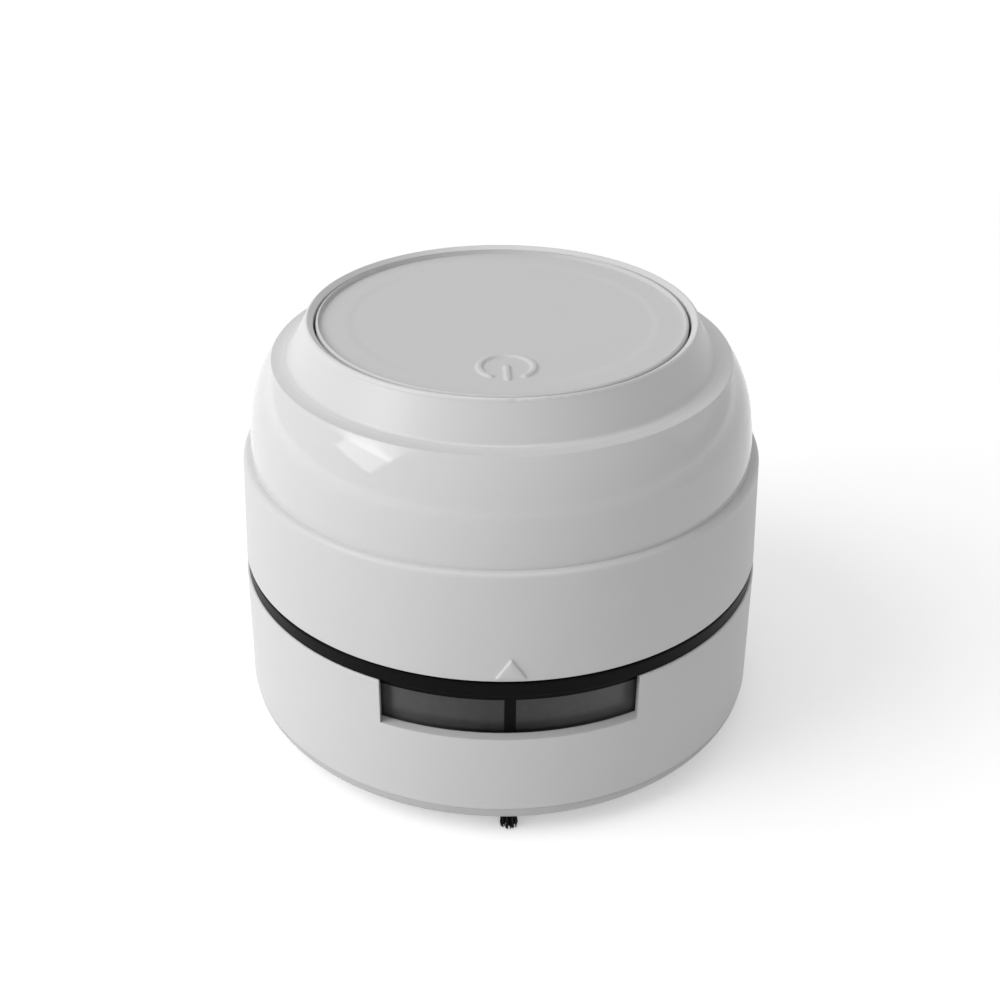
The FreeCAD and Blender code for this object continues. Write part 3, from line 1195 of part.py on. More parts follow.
def make_electronics():
    """The circuit board with its push switch and charging socket, and the plunger that the button presses."""
    board = new_body("circuit_board")
    plate = outline(board, "board_outline", "XY_Plane", [
        ("-board_half_width", "board_near"),
        ("board_half_width", "board_near"),
        ("board_half_width", "board_far - 2.5"),
        ("board_half_width - 2.5", "board_far"),
        ("2.5 - board_half_width", "board_far"),
        ("-board_half_width", "board_far - 2.5"),
    ], "board_foot")
    pad(board, plate, "board_top - board_foot")
    holes = circles(board, "board_hole", "XY_Plane", STANDOFF_SPOTS, "screw_clearance", "board_foot - 1")
    pocket(board, holes, "board_top - board_foot + 2")
    finish(board, "circuit_board")

    socket = new_body("usb_socket")
    shell = rounded_box(socket, "socket_shell", "XZ_Plane", (0, "port_height"),
                        ("socket_half_width", "socket_half_height"), 1.3, "-socket_mouth")
    pad(socket, shell, "socket_mouth - socket_near")
    cavity = rounded_box(socket, "socket_cavity", "XZ_Plane", (0, "port_height"),
                         ("socket_half_width - socket_wall", "socket_half_height - socket_wall"), 1.0,
                         "-socket_mouth")
    pocket(socket, cavity, "socket_depth")
    tongue = rectangle(socket, "tongue", "XZ_Plane", "-tongue_half_width", "tongue_half_width",
                       "port_height - tongue_half_height", "port_height + tongue_half_height",
                       "-tongue_mouth")
    pad(socket, tongue, "tongue_mouth - socket_mouth + socket_depth + 0.3")
    finish(socket, "usb_socket")

    switch = new_body("switch_body")
    case = rounded_box(switch, "switch_case", "XY_Plane", ("stem_across", "stem_along"),
                       ("switch_half_width", "switch_half_width"), 0.4, "board_top + 0.02")
    pad(switch, case, "switch_top - board_top - 0.02")
    bore = circles(switch, "plunger_bore", "XY_Plane", [("stem_across", "stem_along")],
                   "plunger_radius + plunger_gap", "plunger_foot - button_travel - 0.2")
    pocket(switch, bore, "switch_top - plunger_foot + button_travel + 1")
    finish(switch, "switch_body")
    plunger = cylinder("switch_plunger", "plunger_radius", "plunger_foot", "plunger_top", "stem_across",
                       "stem_along")
    finish(plunger, "switch_plunger")


def make_screws():
    """All the screws, one group for each kind."""
    screws("base_screws", corners_of("boss_across", "boss_along"), "head_recess_radius - 0.2",
           "base_height + 0.15", "base_height + head_recess_depth", "pilot_radius - 0.03",
           "base_height + 0.9", "cup_floor_underside + 0.4")
    screws("cover_screws", COVER_SCREW_SPOTS, 1.8, "ledge_pad_foot - 1.2", "ledge_pad_foot",
           "cover_pilot_radius - 0.03", "ledge_pad_foot - 0.1", "spigot_foot + 5")
    screws("shroud_screws", EAR_SPOTS, 1.8, "ear_foot - 1.2", "ear_foot", "cover_pilot_radius - 0.03",
           "ear_foot - 0.1", "plate_top - 0.5")
    screws("motor_screws", MOTOR_SCREW_SPOTS, 1.9, "plate_foot + 0.1", "plate_foot + 0.9",
           "motor_screw_radius", "plate_foot + 0.8", "motor_foot + 2.6")
    screws("board_screws", STANDOFF_SPOTS, 1.8, "board_top", "board_top + 1.1", "cover_pilot_radius - 0.03",
           "plate_foot + 0.6", "board_top + 0.1")


def check_and_write():
    """Stops if any object failed, and writes each piece to its own file."""
    document.recompute()
    for item in document.Objects:
        if "Invalid" in item.State or "Error" in item.State:
            raise RuntimeError(f"{item.Label} is in state {item.State}")
    os.makedirs("parts", exist_ok=True)
    for item in finished:
        if item.Shape.isNull() or not item.Shape.isValid():
            raise RuntimeError(f"{item.Label} has no valid shape")
    for item in finished:
        item.Shape.exportStep(f"parts/{item.Label}.step")
        print(f"{item.Label}: {item.Shape.Volume:.1f} mm3, {len(item.Shape.Solids)} solids")


make_lower_shell()
make_base_plate()
make_intake_duct()
make_window_ring()
make_window_pane()
make_brush()
make_rollers()
make_filter()
make_body_band()
make_upper_cover()
make_top_button()
make_springs()
make_motor_plate()
make_fan_shroud()
make_impeller()
make_motor()
make_battery()
make_electronics()
make_screws()
check_and_write()
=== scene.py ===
# %% [markdown]
# # Dressing a round desk vacuum
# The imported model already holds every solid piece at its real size. This script gives each of
# them its finish, and adds what a solid model leaves plain: moulded walls with soft edges, the
# raised symbol, the springs' coils, the woven filter and the bristles. Lengths in the cells are
# millimetres, and become metres only when a mesh is made.

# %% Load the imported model
import json
import math
import bmesh
import bpy
import numpy as np
from mathutils import Matrix

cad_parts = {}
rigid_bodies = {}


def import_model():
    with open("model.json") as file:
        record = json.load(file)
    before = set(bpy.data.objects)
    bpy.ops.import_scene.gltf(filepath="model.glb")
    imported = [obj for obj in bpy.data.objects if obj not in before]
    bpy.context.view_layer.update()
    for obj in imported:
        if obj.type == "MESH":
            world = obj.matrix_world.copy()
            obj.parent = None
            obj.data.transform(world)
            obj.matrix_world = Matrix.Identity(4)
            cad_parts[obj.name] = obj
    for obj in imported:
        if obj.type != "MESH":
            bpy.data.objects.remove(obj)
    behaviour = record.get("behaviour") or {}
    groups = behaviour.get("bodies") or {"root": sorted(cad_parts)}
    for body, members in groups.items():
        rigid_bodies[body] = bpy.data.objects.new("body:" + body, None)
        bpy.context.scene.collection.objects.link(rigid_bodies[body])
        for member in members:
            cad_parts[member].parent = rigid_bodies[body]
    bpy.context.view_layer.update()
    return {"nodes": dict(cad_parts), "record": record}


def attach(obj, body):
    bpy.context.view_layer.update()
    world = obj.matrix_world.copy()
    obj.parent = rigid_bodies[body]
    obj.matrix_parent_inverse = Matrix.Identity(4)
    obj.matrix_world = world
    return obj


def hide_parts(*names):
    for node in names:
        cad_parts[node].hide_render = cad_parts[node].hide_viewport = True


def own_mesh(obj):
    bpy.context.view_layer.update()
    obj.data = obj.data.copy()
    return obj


for stray in list(bpy.data.objects):
    bpy.data.objects.remove(stray)
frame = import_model()
nodes = frame["nodes"]
MM = 0.001
print("nodes in the packed model:", len(nodes))

# %% [markdown]
# ## Outlines with soft edges
# Moulded plastic has no sharp edges: the cutter that makes the mould leaves a small radius in
# every corner, and that radius is what catches the light. So an outline here is a list of
# corners, and a corner with a third number is replaced by a small arc.


# %% Rounded corners
def soften(corners, steps=5):
    """The closed outline with each corner (x, y, r) replaced by the arc of radius r that touches both
    edges. With a and b the unit vectors to the neighbours, the centre lies on their bisector m at
    r / cos(turn / 2), and the arc's points are centre + r * (sin(s) * w - cos(s) * m), where w is
    the unit vector along b - a and s runs over the turn."""
    points = []
    for i, corner in enumerate(corners):
        here = np.array(corner[:2], float)
        if len(corner) == 2:
            points.append(here[None])
            continue
        to_last = np.array(corners[i - 1][:2], float) - here
        to_next = np.array(corners[(i + 1) % len(corners)][:2], float) - here
        to_last, to_next = to_last / np.hypot(*to_last), to_next / np.hypot(*to_next)
        half_turn = (math.pi - math.acos(np.clip(to_last @ to_next, -1, 1))) / 2
        middle = (to_last + to_next) / np.hypot(*(to_last + to_next))
        along = (to_next - to_last) / np.hypot(*(to_next - to_last))
        s = np.linspace(-half_turn, half_turn, steps + 1)[:, None]
        centre = here + middle * corner[2] / math.cos(half_turn)
        points.append(centre + corner[2] * (np.sin(s) * along - np.cos(s) * middle))
    return np.vstack(points)


# %% [markdown]
# ## From a grid of points to a mesh
# Every new piece is a grid of points worked out by a formula, row by row, and the faces join
# each point to its neighbours. Where the grid folds onto itself, as at the middle of a disc,
# points that coincide are merged, so that the surface is closed.


# %% A mesh from a grid
MERGE_DISTANCE, SLIVER = 2e-6, 1e-7
SHARP_ANGLE = 35


def grid_faces(rows, columns, close_rows, close_columns):
    """Corner numbers of the quads of a grid, as one array, with the last row or column joined to the
    first one where the surface closes on itself."""
    i = np.arange(rows if close_rows else rows - 1)[:, None]
    j = np.arange(columns if close_columns else columns - 1)[None]
    up, right = (i + 1) % rows, (j + 1) % columns
    quads = np.stack([i * columns + j, up * columns + j,
                      up * columns + right, i * columns + right], -1)
    return quads.reshape(-1, 4)


def rods(points):
    """Quads of many bars, given as (bar, ring, corner, xyz) with four corners to a ring: the sides, and
    one quad to close each end."""
    count, rings, corners = points.shape[:3]
    last = (rings - 1) * corners
    ends = np.array([[0, 1, 2, 3], [last + 3, last + 2, last + 1, last]])
    one = np.vstack([grid_faces(rings, corners, False, True), ends])
    start = np.arange(count)[:, None, None] * rings * corners
    return (one[None] + start).reshape(-1, 4)


def solid(name, *shells):
    """A mesh object from shells, each a pair of points in millimetres and quads: doubles merged, faces
    turned outwards, smooth but for its sharp edges."""
    first = np.cumsum([0] + [len(points) for points, _ in shells[:-1]])
    points = np.vstack([points for points, _ in shells]) * MM
    quads = np.vstack([quads + f for (_, quads), f in zip(shells, first)])
    mesh = bpy.data.meshes.new(name)
    mesh.vertices.add(len(points))
    mesh.vertices.foreach_set("co", points.astype(np.float32).ravel())
    mesh.loops.add(quads.size)
    mesh.loops.foreach_set("vertex_index", quads.astype(np.int32).ravel())
    mesh.polygons.add(len(quads))
    mesh.polygons.foreach_set("loop_start", np.arange(0, quads.size, 4, dtype=np.int32))
    mesh.update(calc_edges=True)
    work = bmesh.new()
    work.from_mesh(mesh)
    bmesh.ops.remove_doubles(work, verts=work.verts, dist=MERGE_DISTANCE)
    bmesh.ops.dissolve_degenerate(work, edges=work.edges, dist=SLIVER)
    bmesh.ops.recalc_face_normals(work, faces=work.faces)
    work.to_mesh(mesh)
    work.free()
    piece = bpy.data.objects.new(name, mesh)
    bpy.context.scene.collection.objects.link(piece)
    shade(piece)
    return piece


def shade(piece):
    """Smooth shading, but for edges that turn by more than the sharp angle, in degrees."""
    piece.data.polygons.foreach_set("use_smooth", np.ones(len(piece.data.polygons), bool))
    piece.data.set_sharp_from_angle(angle=math.radians(SHARP_ANGLE))


# %% [markdown]
# ## Turned shells, blocks and prisms
# A round moulding is a profile turned about the upright axis. What breaks its roundness, such as
# a lug, a boss or a slot, is a small block or prism that is added to the turned shell or cut
# out of it, as a toolmaker would do in the mould. A turn takes many steps, so that the light
# runs evenly along its thin edges.


# %% Turned shells, blocks and prisms
TURN_STEPS = 480


def turned(corners):
    """A closed profile of (radius, height) turned about the upright axis: x = r cos a, y = r sin a."""
    r, z = soften(corners).T
    a = np.linspace(0, 2 * math.pi, TURN_STEPS, endpoint=False)[:, None]
    points = np.stack([r * np.cos(a), r * np.sin(a), z + 0 * a], -1)
    return points.reshape(-1, 3), grid_faces(TURN_STEPS, r.size, True, True)


def block(inner, outer, foot, top, middle, half, steps=10):
    """Part of a flat ring, half a width to each side of a middle bearing, in degrees: a four-cornered
    profile turned part of the way."""
    a = np.radians(np.linspace(middle - half, middle + half, steps + 1))[:, None]
    r, z = np.array([inner, outer, outer, inner]), np.array([foot, foot, top, top])
    points = np.stack([r * np.cos(a), r * np.sin(a), z + 0 * a], -1)
    return points.reshape(-1, 3), rods(points[None])


def prism(outline, near, far, bearing=None):
    """An outline carried straight from near to far, with a fan to its middle at both ends. Without a
    bearing it rises. With one, the outline is (sideways, up) and it runs outwards that way."""
    middle = np.broadcast_to(outline.mean(0), outline.shape)
    flat = np.stack([middle, outline, outline, middle])
    depth = np.broadcast_to(np.array([near, near, far, far])[:, None], flat.shape[:2])
    points = np.stack([flat[..., 0], flat[..., 1], depth], -1)
    if bearing is not None:
        c, s = math.cos(math.radians(bearing)), math.sin(math.radians(bearing))
        points = np.stack([depth * c - flat[..., 0] * s, depth * s + flat[..., 0] * c,
                           flat[..., 1]], -1)
    return points.reshape(-1, 3), grid_faces(4, len(outline), False, True)


def oval(half_width, half_height, corner, at=(0, 0)):
    """The outline of a rectangle with rounded corners about a point."""
    x, y = at
    return soften([(x - half_width, y - half_height, corner), (x + half_width, y - half_height, corner),
                   (x + half_width, y + half_height, corner), (x - half_width, y + half_height, corner)])


def disc_outline(radius, at, steps=28):
    """The outline of a circle about a point."""
    a = np.linspace(0, 2 * math.pi, steps, endpoint=False)
    return np.column_stack([at[0] + radius * np.cos(a), at[1] + radius * np.sin(a)])


def on_circle(radius, bearings):
    """Points on a circle at bearings in degrees."""
    a = np.radians(np.asarray(bearings, float))
    return np.column_stack([radius * np.cos(a), radius * np.sin(a)])


def carve(piece, added, removed):
    """Joins one set of shells to a piece and cuts another out of it, with the exact Boolean."""
    tools = [solid("tool", *shells) for shells in (added, removed) if shells]
    work = [kind for kind, shells in (("UNION", added), ("DIFFERENCE", removed)) if shells]
    for tool, kind in zip(tools, work):
        step = piece.modifiers.new(kind.lower(), "BOOLEAN")
        step.operation, step.object, step.solver = kind, tool, "EXACT"
    graph = bpy.context.evaluated_depsgraph_get()
    carved = bpy.data.meshes.new_from_object(piece.evaluated_get(graph))
    piece.modifiers.clear()
    piece.data = carved
    for tool in tools:
        bpy.data.objects.remove(tool)
    shade(piece)
    return piece


def dress(piece, body, slot, *stands_for):
    """Gives a new piece its finish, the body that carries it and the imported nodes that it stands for."""
    piece.data.materials.clear()
    piece.data.materials.append(finish[slot])
    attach(piece, body)
    if stands_for:
        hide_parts(*stands_for)
    print(piece.name, "has", len(piece.data.polygons), "faces")


# %% [markdown]
# ## Colours and shader nodes
# A colour is written as it would look on a screen, in hex, and turned to linear light once.
# One helper adds a node, sets its values and plugs in what feeds it.


# %% Colour and node helpers
def colour(code):
    """Linear RGBA from an sRGB hex code: ((c + 0.055) / 1.055) ** 2.4 above 0.04045, c / 12.92 below."""
    c = np.array([int(code[i:i + 2], 16) for i in (1, 3, 5)]) / 255
    c = np.where(c > 0.04045, ((c + 0.055) / 1.055) ** 2.4, c / 12.92)
    return (*(float(v) for v in c), 1.0)


def add(tree, kind, settings=None, links=None):
    """One shader node: its settings go to its sockets or its own properties, its links come from others."""
    item = tree.nodes.new(kind)
    for key, value in (settings or {}).items():
        if isinstance(key, int) or key in item.inputs:
            item.inputs[key].default_value = value
        else:
            setattr(item, key, value)
    for key, source in (links or {}).items():
        tree.links.new(source, item.inputs[key])
    return item


def new_material(name):
    """An empty material with its output, ready for a surface."""
    material = bpy.data.materials.new(name)
    material.use_nodes = True
    tree = material.node_tree
    tree.nodes.clear()
    return material, tree, add(tree, "ShaderNodeOutputMaterial")


def seen_rays(tree):
    """1 for the rays that show a surface to the eye, directly, in a gloss or through a pane, else 0."""
    path = add(tree, "ShaderNodeLightPath")
    direct = add(tree, "ShaderNodeMath", {"operation": "MAXIMUM"},
                 {0: path.outputs["Is Camera Ray"], 1: path.outputs["Is Transmission Ray"]})
    return add(tree, "ShaderNodeMath", {"operation": "MAXIMUM"},
               {0: direct.outputs[0], 1: path.outputs["Is Glossy Ray"]})


def grains(millimetres):
    """Noise scale for grains of a given size: a noise of scale 1 has one grain to a metre."""
    return 1000 / millimetres


# %% [markdown]
# ## Moulded plastic
# Nearly all of the object is injection-moulded ABS. Polished steel in the mould gives a glossy
# face, and spark-eroded steel gives a satin one with a grain of a few hundredths of a
# millimetre. That grain is too fine to show here, so it is drawn a few tenths wide. A very
# faint cloudiness, some centimetres wide, keeps large faces from looking like paper.


# %% Moulded plastic
PLASTIC_IOR = 1.53
CLOUD_SIZE = 28
GRAIN_RELIEF = 0.6


def moulded(name, code, roughness, grain, depth, cloud=0.03, gloss_drift=0.04, edge=0.25,
            level=0.5, satin=None):
    """Plastic from a mould: a base colour that drifts by a few percent, a fine grain as bump, the grain's
    own small change of roughness, and corners that catch the light as if rounded to the edge radius. With
    satin = (low, high, roughness), the mould's polish fades out between two heights in millimetres."""
    material, tree, output = new_material(name)
    place = add(tree, "ShaderNodeTexCoord").outputs["Object"]
    drift = add(tree, "ShaderNodeTexNoise", {"Scale": grains(CLOUD_SIZE), "Detail": 3.0}, {"Vector": place})
    shade = add(tree, "ShaderNodeMapRange", {"To Min": 1 - cloud, "To Max": 1 + cloud},
                {"Value": drift.outputs["Fac"]})
    tint = add(tree, "ShaderNodeMix",
               {"data_type": "RGBA", "blend_type": "MULTIPLY", 0: 1.0, 6: colour(code)})
    grey = add(tree, "ShaderNodeCombineColor", {}, dict.fromkeys((0, 1, 2), shade.outputs[0]))
    tree.links.new(grey.outputs[0], tint.inputs[7])
    texture = add(tree, "ShaderNodeTexNoise", {"Scale": grains(grain), "Detail": 2.0, "Roughness": 0.6},
                  {"Vector": place})
    matt = add(tree, "ShaderNodeMapRange",
               {"To Min": roughness - gloss_drift, "To Max": roughness + gloss_drift},
               {"Value": texture.outputs["Fac"]})
    dull = matt.outputs[0]
    if satin:
        height = add(tree, "ShaderNodeSeparateXYZ", {}, {0: place})
        fade = add(tree, "ShaderNodeMapRange", {"From Min": satin[0] * MM, "From Max": satin[1] * MM},
                   {"Value": height.outputs["Z"]})
        dull = add(tree, "ShaderNodeMix", {"data_type": "FLOAT", 3: satin[2]},
                   {0: fade.outputs[0], 2: dull}).outputs[0]
    corner = add(tree, "ShaderNodeBevel", {"samples": 6, "Radius": edge * MM})
    relief = add(tree, "ShaderNodeBump", {"Strength": GRAIN_RELIEF, "Distance": depth * MM},
                 {"Height": texture.outputs["Fac"], "Normal": corner.outputs[0]})
    surface = add(tree, "ShaderNodeBsdfPrincipled", {"IOR": PLASTIC_IOR, "Specular IOR Level": level},
                  {"Base Color": tint.outputs[2], "Roughness": dull, "Normal": relief.outputs[0]})
    tree.links.new(surface.outputs[0], output.inputs["Surface"])
    return material


finish = {}
# Polished ABS: a clear reflection, softened a little because plastic shrinks unevenly as it
# cools. The photograph shows no second reflection on the collar above it, so that is satin.
finish["dome_white"] = moulded("ABS_polished_white", "#E0E0E0", 0.07, 9.0, 0.002, cloud=0.012,
                               gloss_drift=0.015, satin=(61.5, 63.0, 0.36))
# Spark-eroded ABS: a soft sheen with no clear reflection.
finish["band_white"] = moulded("ABS_satin_white", "#DEDEDE", 0.44, 0.35, 0.006)
finish["shell_white"] = finish["band_white"]
finish["button_white"] = moulded("ABS_fine_matt_white", "#D9D9D9", 0.5, 0.3, 0.005)
finish["inner_white"] = moulded("ABS_inner_white", "#DEDEDA", 0.5, 0.5, 0.008)
finish["filter_white"] = finish["inner_white"]
finish["plunger_white"] = finish["inner_white"]
# Moulded nylon without a dye: a warm milky white.
finish["fan_plastic"] = moulded("nylon_natural", "#D8D6CC", 0.45, 0.6, 0.008)
# Black ABS: so dark that only its sheen shows, and that sheen is weak.
finish["ring_black"] = moulded("ABS_satin_black", "#060606", 0.4, 0.35, 0.006, cloud=0.1, level=0.06)
# Turned acetal and moulded nylon: waxy, and a little lighter than the ring.
finish["roller_black"] = moulded("acetal_black", "#17181A", 0.42, 0.5, 0.006, cloud=0.1)
finish["switch_black"] = moulded("nylon_black", "#16171A", 0.5, 0.5, 0.006, cloud=0.1)
finish["motor_cap"] = finish["switch_black"]
# Pressed silicone: dull, with a fine dusty grain.
finish["seal_rubber"] = moulded("silicone_grey", "#77787A", 0.7, 0.7, 0.012, cloud=0.08)
# Solder mask and shrink film: thin glossy coats, uneven over what lies under them.
finish["board_green"] = moulded("solder_mask_green", "#1F5A38", 0.3, 1.2, 0.01, cloud=0.12)
finish["battery_wrap"] = moulded("shrink_film_blue", "#2F6FA8", 0.3, 2.0, 0.01)
# Drawn nylon thread: the woven filter's is undyed and dull, the bristles' is black and smooth.
finish["filter_cloth"] = moulded("nylon_thread_undyed", "#CFCEC8", 0.9, 0.4, 0.06, cloud=0.08)
finish["bristle_black"] = moulded("nylon_bristle_black", "#060607", 0.45, 0.3, 0.004, cloud=0.2,
                                  edge=0.02, level=0.15)
print("plastic finishes:", len(finish))

# %% [markdown]
# ## Metals
# The screws and the motor's can are zinc-plated steel: grey, slightly mottled, with a roughness
# that changes over about a millimetre. The springs are drawn wire, the shaft is ground, and the
# contacts are tinned brass.


# %% Metals
METAL_DRIFT = 0.08
METAL_RELIEF, METAL_RELIEF_DEPTH = 0.3, 0.004


def plated(name, code, roughness, mottle):
    """Metal whose roughness drifts over patches of the given size in millimetres."""
    material, tree, output = new_material(name)
    place = add(tree, "ShaderNodeTexCoord").outputs["Object"]
    patches = add(tree, "ShaderNodeTexNoise", {"Scale": grains(mottle), "Detail": 4.0}, {"Vector": place})
    matt = add(tree, "ShaderNodeMapRange",
               {"To Min": roughness - METAL_DRIFT, "To Max": roughness + METAL_DRIFT},
               {"Value": patches.outputs["Fac"]})
    relief = add(tree, "ShaderNodeBump", {"Strength": METAL_RELIEF, "Distance": METAL_RELIEF_DEPTH * MM},
                 {"Height": patches.outputs["Fac"]})
    surface = add(tree, "ShaderNodeBsdfPrincipled", {"Base Color": colour(code), "Metallic": 1.0},
                  {"Roughness": matt.outputs[0], "Normal": relief.outputs[0]})
    tree.links.new(surface.outputs[0], output.inputs["Surface"])
    return material


finish["steel"] = plated("steel_zinc_plated", "#B9BBBE", 0.34, 0.8)
finish["screw_black"] = plated("steel_blackened", "#2A2A2C", 0.45, 0.6)
finish["motor_steel"] = plated("steel_drawn_zinc", "#BFC1C4", 0.28, 1.6)
finish["socket_steel"] = plated("steel_nickel_plated", "#C9C6BF", 0.22, 0.8)
finish["spring_steel"] = plated("spring_wire", "#A9ABAE", 0.3, 0.5)
finish["shaft_steel"] = plated("steel_ground", "#C8CACC", 0.2, 0.4)
finish["contact_metal"] = plated("brass_tinned", "#C9B48A", 0.3, 0.6)
print("finishes with metals:", len(finish))

# %% [markdown]
# ## The smoked window
# The window is a thin strip of smoke-tinted polystyrene. It passes a little light, so the dim
# inside of the cup shows through it as a dark grey. Towards both ends its colour is painted
# lighter: a painted sheen that stands in for the reflection there, broken up by a noise.


# %% Smoked polystyrene
# Painted sheen on the window: where it starts and where it is full, in mm from the middle, and the noise
# that breaks it up.
SHEEN_PAINT_STARTS, SHEEN_PAINT_FULL = 3, 17
SHEEN_PAINT_NOISE_SIZE, SHEEN_PAINT_SPREAD, SHEEN_PAINT_SHIFT = 1.6, 0.35, -0.18
RIPPLE_SIZE, RIPPLE_DEPTH = 5, 0.01


def smoked(name, code, sheen_tint, roughness):
    """Tinted clear plastic. A painted sheen lightens its colour towards both ends of the window, by the
    distance from the middle in millimetres, broken up by a noise; it stands in for the reflection there."""
    material, tree, output = new_material(name)
    place = add(tree, "ShaderNodeTexCoord").outputs["Object"]
    ripple = add(tree, "ShaderNodeTexNoise", {"Scale": grains(RIPPLE_SIZE), "Detail": 2.0},
                 {"Vector": place})
    relief = add(tree, "ShaderNodeBump", {"Strength": 0.3, "Distance": RIPPLE_DEPTH * MM},
                 {"Height": ripple.outputs["Fac"]})
    across = add(tree, "ShaderNodeSeparateXYZ", {}, {0: place}).outputs["X"]
    aside = add(tree, "ShaderNodeMath", {"operation": "ABSOLUTE"}, {0: across})
    sheen_noise = add(tree, "ShaderNodeTexNoise", {"Scale": grains(SHEEN_PAINT_NOISE_SIZE), "Detail": 4.0}, {"Vector": place})
    reach = add(tree, "ShaderNodeMapRange", {"From Min": SHEEN_PAINT_STARTS * MM, "From Max": SHEEN_PAINT_FULL * MM},
                {"Value": aside.outputs[0]})
    amount = add(tree, "ShaderNodeMath", {"operation": "MULTIPLY_ADD", 1: SHEEN_PAINT_SPREAD, 2: SHEEN_PAINT_SHIFT},
                 {0: sheen_noise.outputs["Fac"]})
    amount = add(tree, "ShaderNodeMath", {"operation": "ADD", "use_clamp": True},
                 {0: reach.outputs[0], 1: amount.outputs[0]})
    # Painted sheen: the smoke tint lightens to a paler grey towards both ends of the window.
    painted_sheen = add(tree, "ShaderNodeMix", {"data_type": "RGBA", 6: colour(code), 7: colour(sheen_tint)},
               {0: amount.outputs[0]})
    surface = add(tree, "ShaderNodeBsdfPrincipled",
                  {"Roughness": roughness, "IOR": 1.5, "Transmission Weight": 0.3},
                  {"Base Color": painted_sheen.outputs[2], "Normal": relief.outputs[0]})
    tree.links.new(surface.outputs[0], output.inputs["Surface"])
    return material


# The paler second grey is the painted sheen at the window's ends.
finish["smoke_window"] = smoked("polystyrene_smoked", "#202022", "#525254", 0.28)

# %% [markdown]
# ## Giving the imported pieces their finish
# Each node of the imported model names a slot, and the slot says which of the finishes above it
# takes.

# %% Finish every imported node
slot_of = {part["node"]: part["material_slot"] for part in frame["record"]["subparts"]}
# The base is a separate moulding from duller plastic. Its colour, a shade greyer than the shells, is
# painted shade for the underside, which faces down towards the table.
base_painted_shade = moulded("ABS_satin_base", "#C9C9C9", 0.5, 0.35, 0.006)
for name, piece in nodes.items():
    piece.data.materials.clear()
    # The base plate takes the greyer colour that carries its painted shade.
    piece.data.materials.append(base_painted_shade if name == "base_plate" else finish[slot_of[name]])
print("finished nodes:", len(slot_of))

# %% [markdown]
# ## The round button
# The whole top disc is the switch. Its middle is a shallow dish, its border rises to the collar's
# rim, and a power symbol stands up from it in strokes with round shoulders. The top is one
# height map on a polar grid, with the grid lines drawn together where the symbol is. The border
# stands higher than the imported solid's, nearly flush with the collar, as in the photograph.

# %% Button
DISH_RADIUS, DISH_HEIGHT = 23.4, 67.4
BUTTON_RADIUS, BUTTON_EDGE = 28.85, 68.15
SYMBOL_MIDDLE = -17.9
SYMBOL_RADIUS, STROKE_HALF = 4.0, 0.65
SYMBOL_GAP = math.radians(38.0)
SYMBOL_RAISE, STROKE_SHOULDER = 0.3, 0.42
BORDER_RADIUS, TOP_END = 28.4, 28.35
SKIRT_FOOT, SKIRT_BORE, UNDERSIDE = 64.75, 27.45, 65.5
LEG_TOP = 65.8


def symbol_relief(x, y):
    """Height of the symbol at each point: a smooth step, over the shoulder's width, of the distance inside
    the nearer of two strokes. One stroke is an arc with round ends, the other a straight bar."""
    y = y - SYMBOL_MIDDLE
    turn = np.abs(np.arctan2(x, -y))
    end_x, end_y = SYMBOL_RADIUS * math.sin(SYMBOL_GAP), -SYMBOL_RADIUS * math.cos(SYMBOL_GAP)
    to_arc = np.where(turn > SYMBOL_GAP, np.abs(np.hypot(x, y) - SYMBOL_RADIUS),
                      np.hypot(np.abs(x) - end_x, y - end_y))
    to_bar = np.hypot(x, y - np.clip(y, -4.05, 0.05))
    inside = np.clip((STROKE_HALF - np.minimum(to_arc, to_bar)) / STROKE_SHOULDER, 0, 1)
    return SYMBOL_RAISE * inside * inside * (3 - 2 * inside)


def button_shell():
    """The button's grid: rows are circles, from the middle of the top over the edge to the middle of the
    underside, and columns are bearings. The symbol's relief is added to the top rows."""
    border = soften([(0, DISH_HEIGHT), (DISH_RADIUS, DISH_HEIGHT, 9.0), (BORDER_RADIUS, BUTTON_EDGE),
                     (BORDER_RADIUS, 60), (0, 60)])
    top_r = np.r_[0, 4, 8, np.arange(12.6, 23.0, 0.13), np.linspace(23.1, TOP_END, 14)]
    top_z = np.interp(top_r, border[:-3, 0], border[:-3, 1])
    rim = soften([(TOP_END, BUTTON_EDGE), (BUTTON_RADIUS, BUTTON_EDGE, 0.42),
                  (BUTTON_RADIUS, SKIRT_FOOT, 0.15), (SKIRT_BORE, SKIRT_FOOT),
                  (SKIRT_BORE, UNDERSIDE), (0, UNDERSIDE)])[1:]
    r, z = np.r_[top_r, rim[:, 0]][:, None], np.r_[top_z, rim[:, 1]][:, None]
    bearing = np.radians(np.r_[np.arange(-107, -73, 0.42), np.arange(-73, 253, 1.5)])
    x, y = r * np.cos(bearing), r * np.sin(bearing)
    z = z + np.where(np.arange(len(r))[:, None] < len(top_r), symbol_relief(x, y), 0)
    return np.stack([x, y, z], -1).reshape(-1, 3), grid_faces(len(r), bearing.size, False, True)


LEG_OUTLINE = np.array([(22.4, 59.4), (24.0, 59.4), (24.9, 61.05), (24.9, 61.55), (24.0, 61.55),
                        (24.0, LEG_TOP), (22.4, LEG_TOP)])
LEG_HALF_WIDTH = 2.0
PIN_RADIUS, PIN_FOOT, PIN_CIRCLE = 1.3, 61.8, 20.0
PIN_BEARINGS = (30, 150, 270)
STEM_RADIUS, STEM_FOOT, STEM_PLACE = 2.3, 54.15, (-8.0, 24.0)


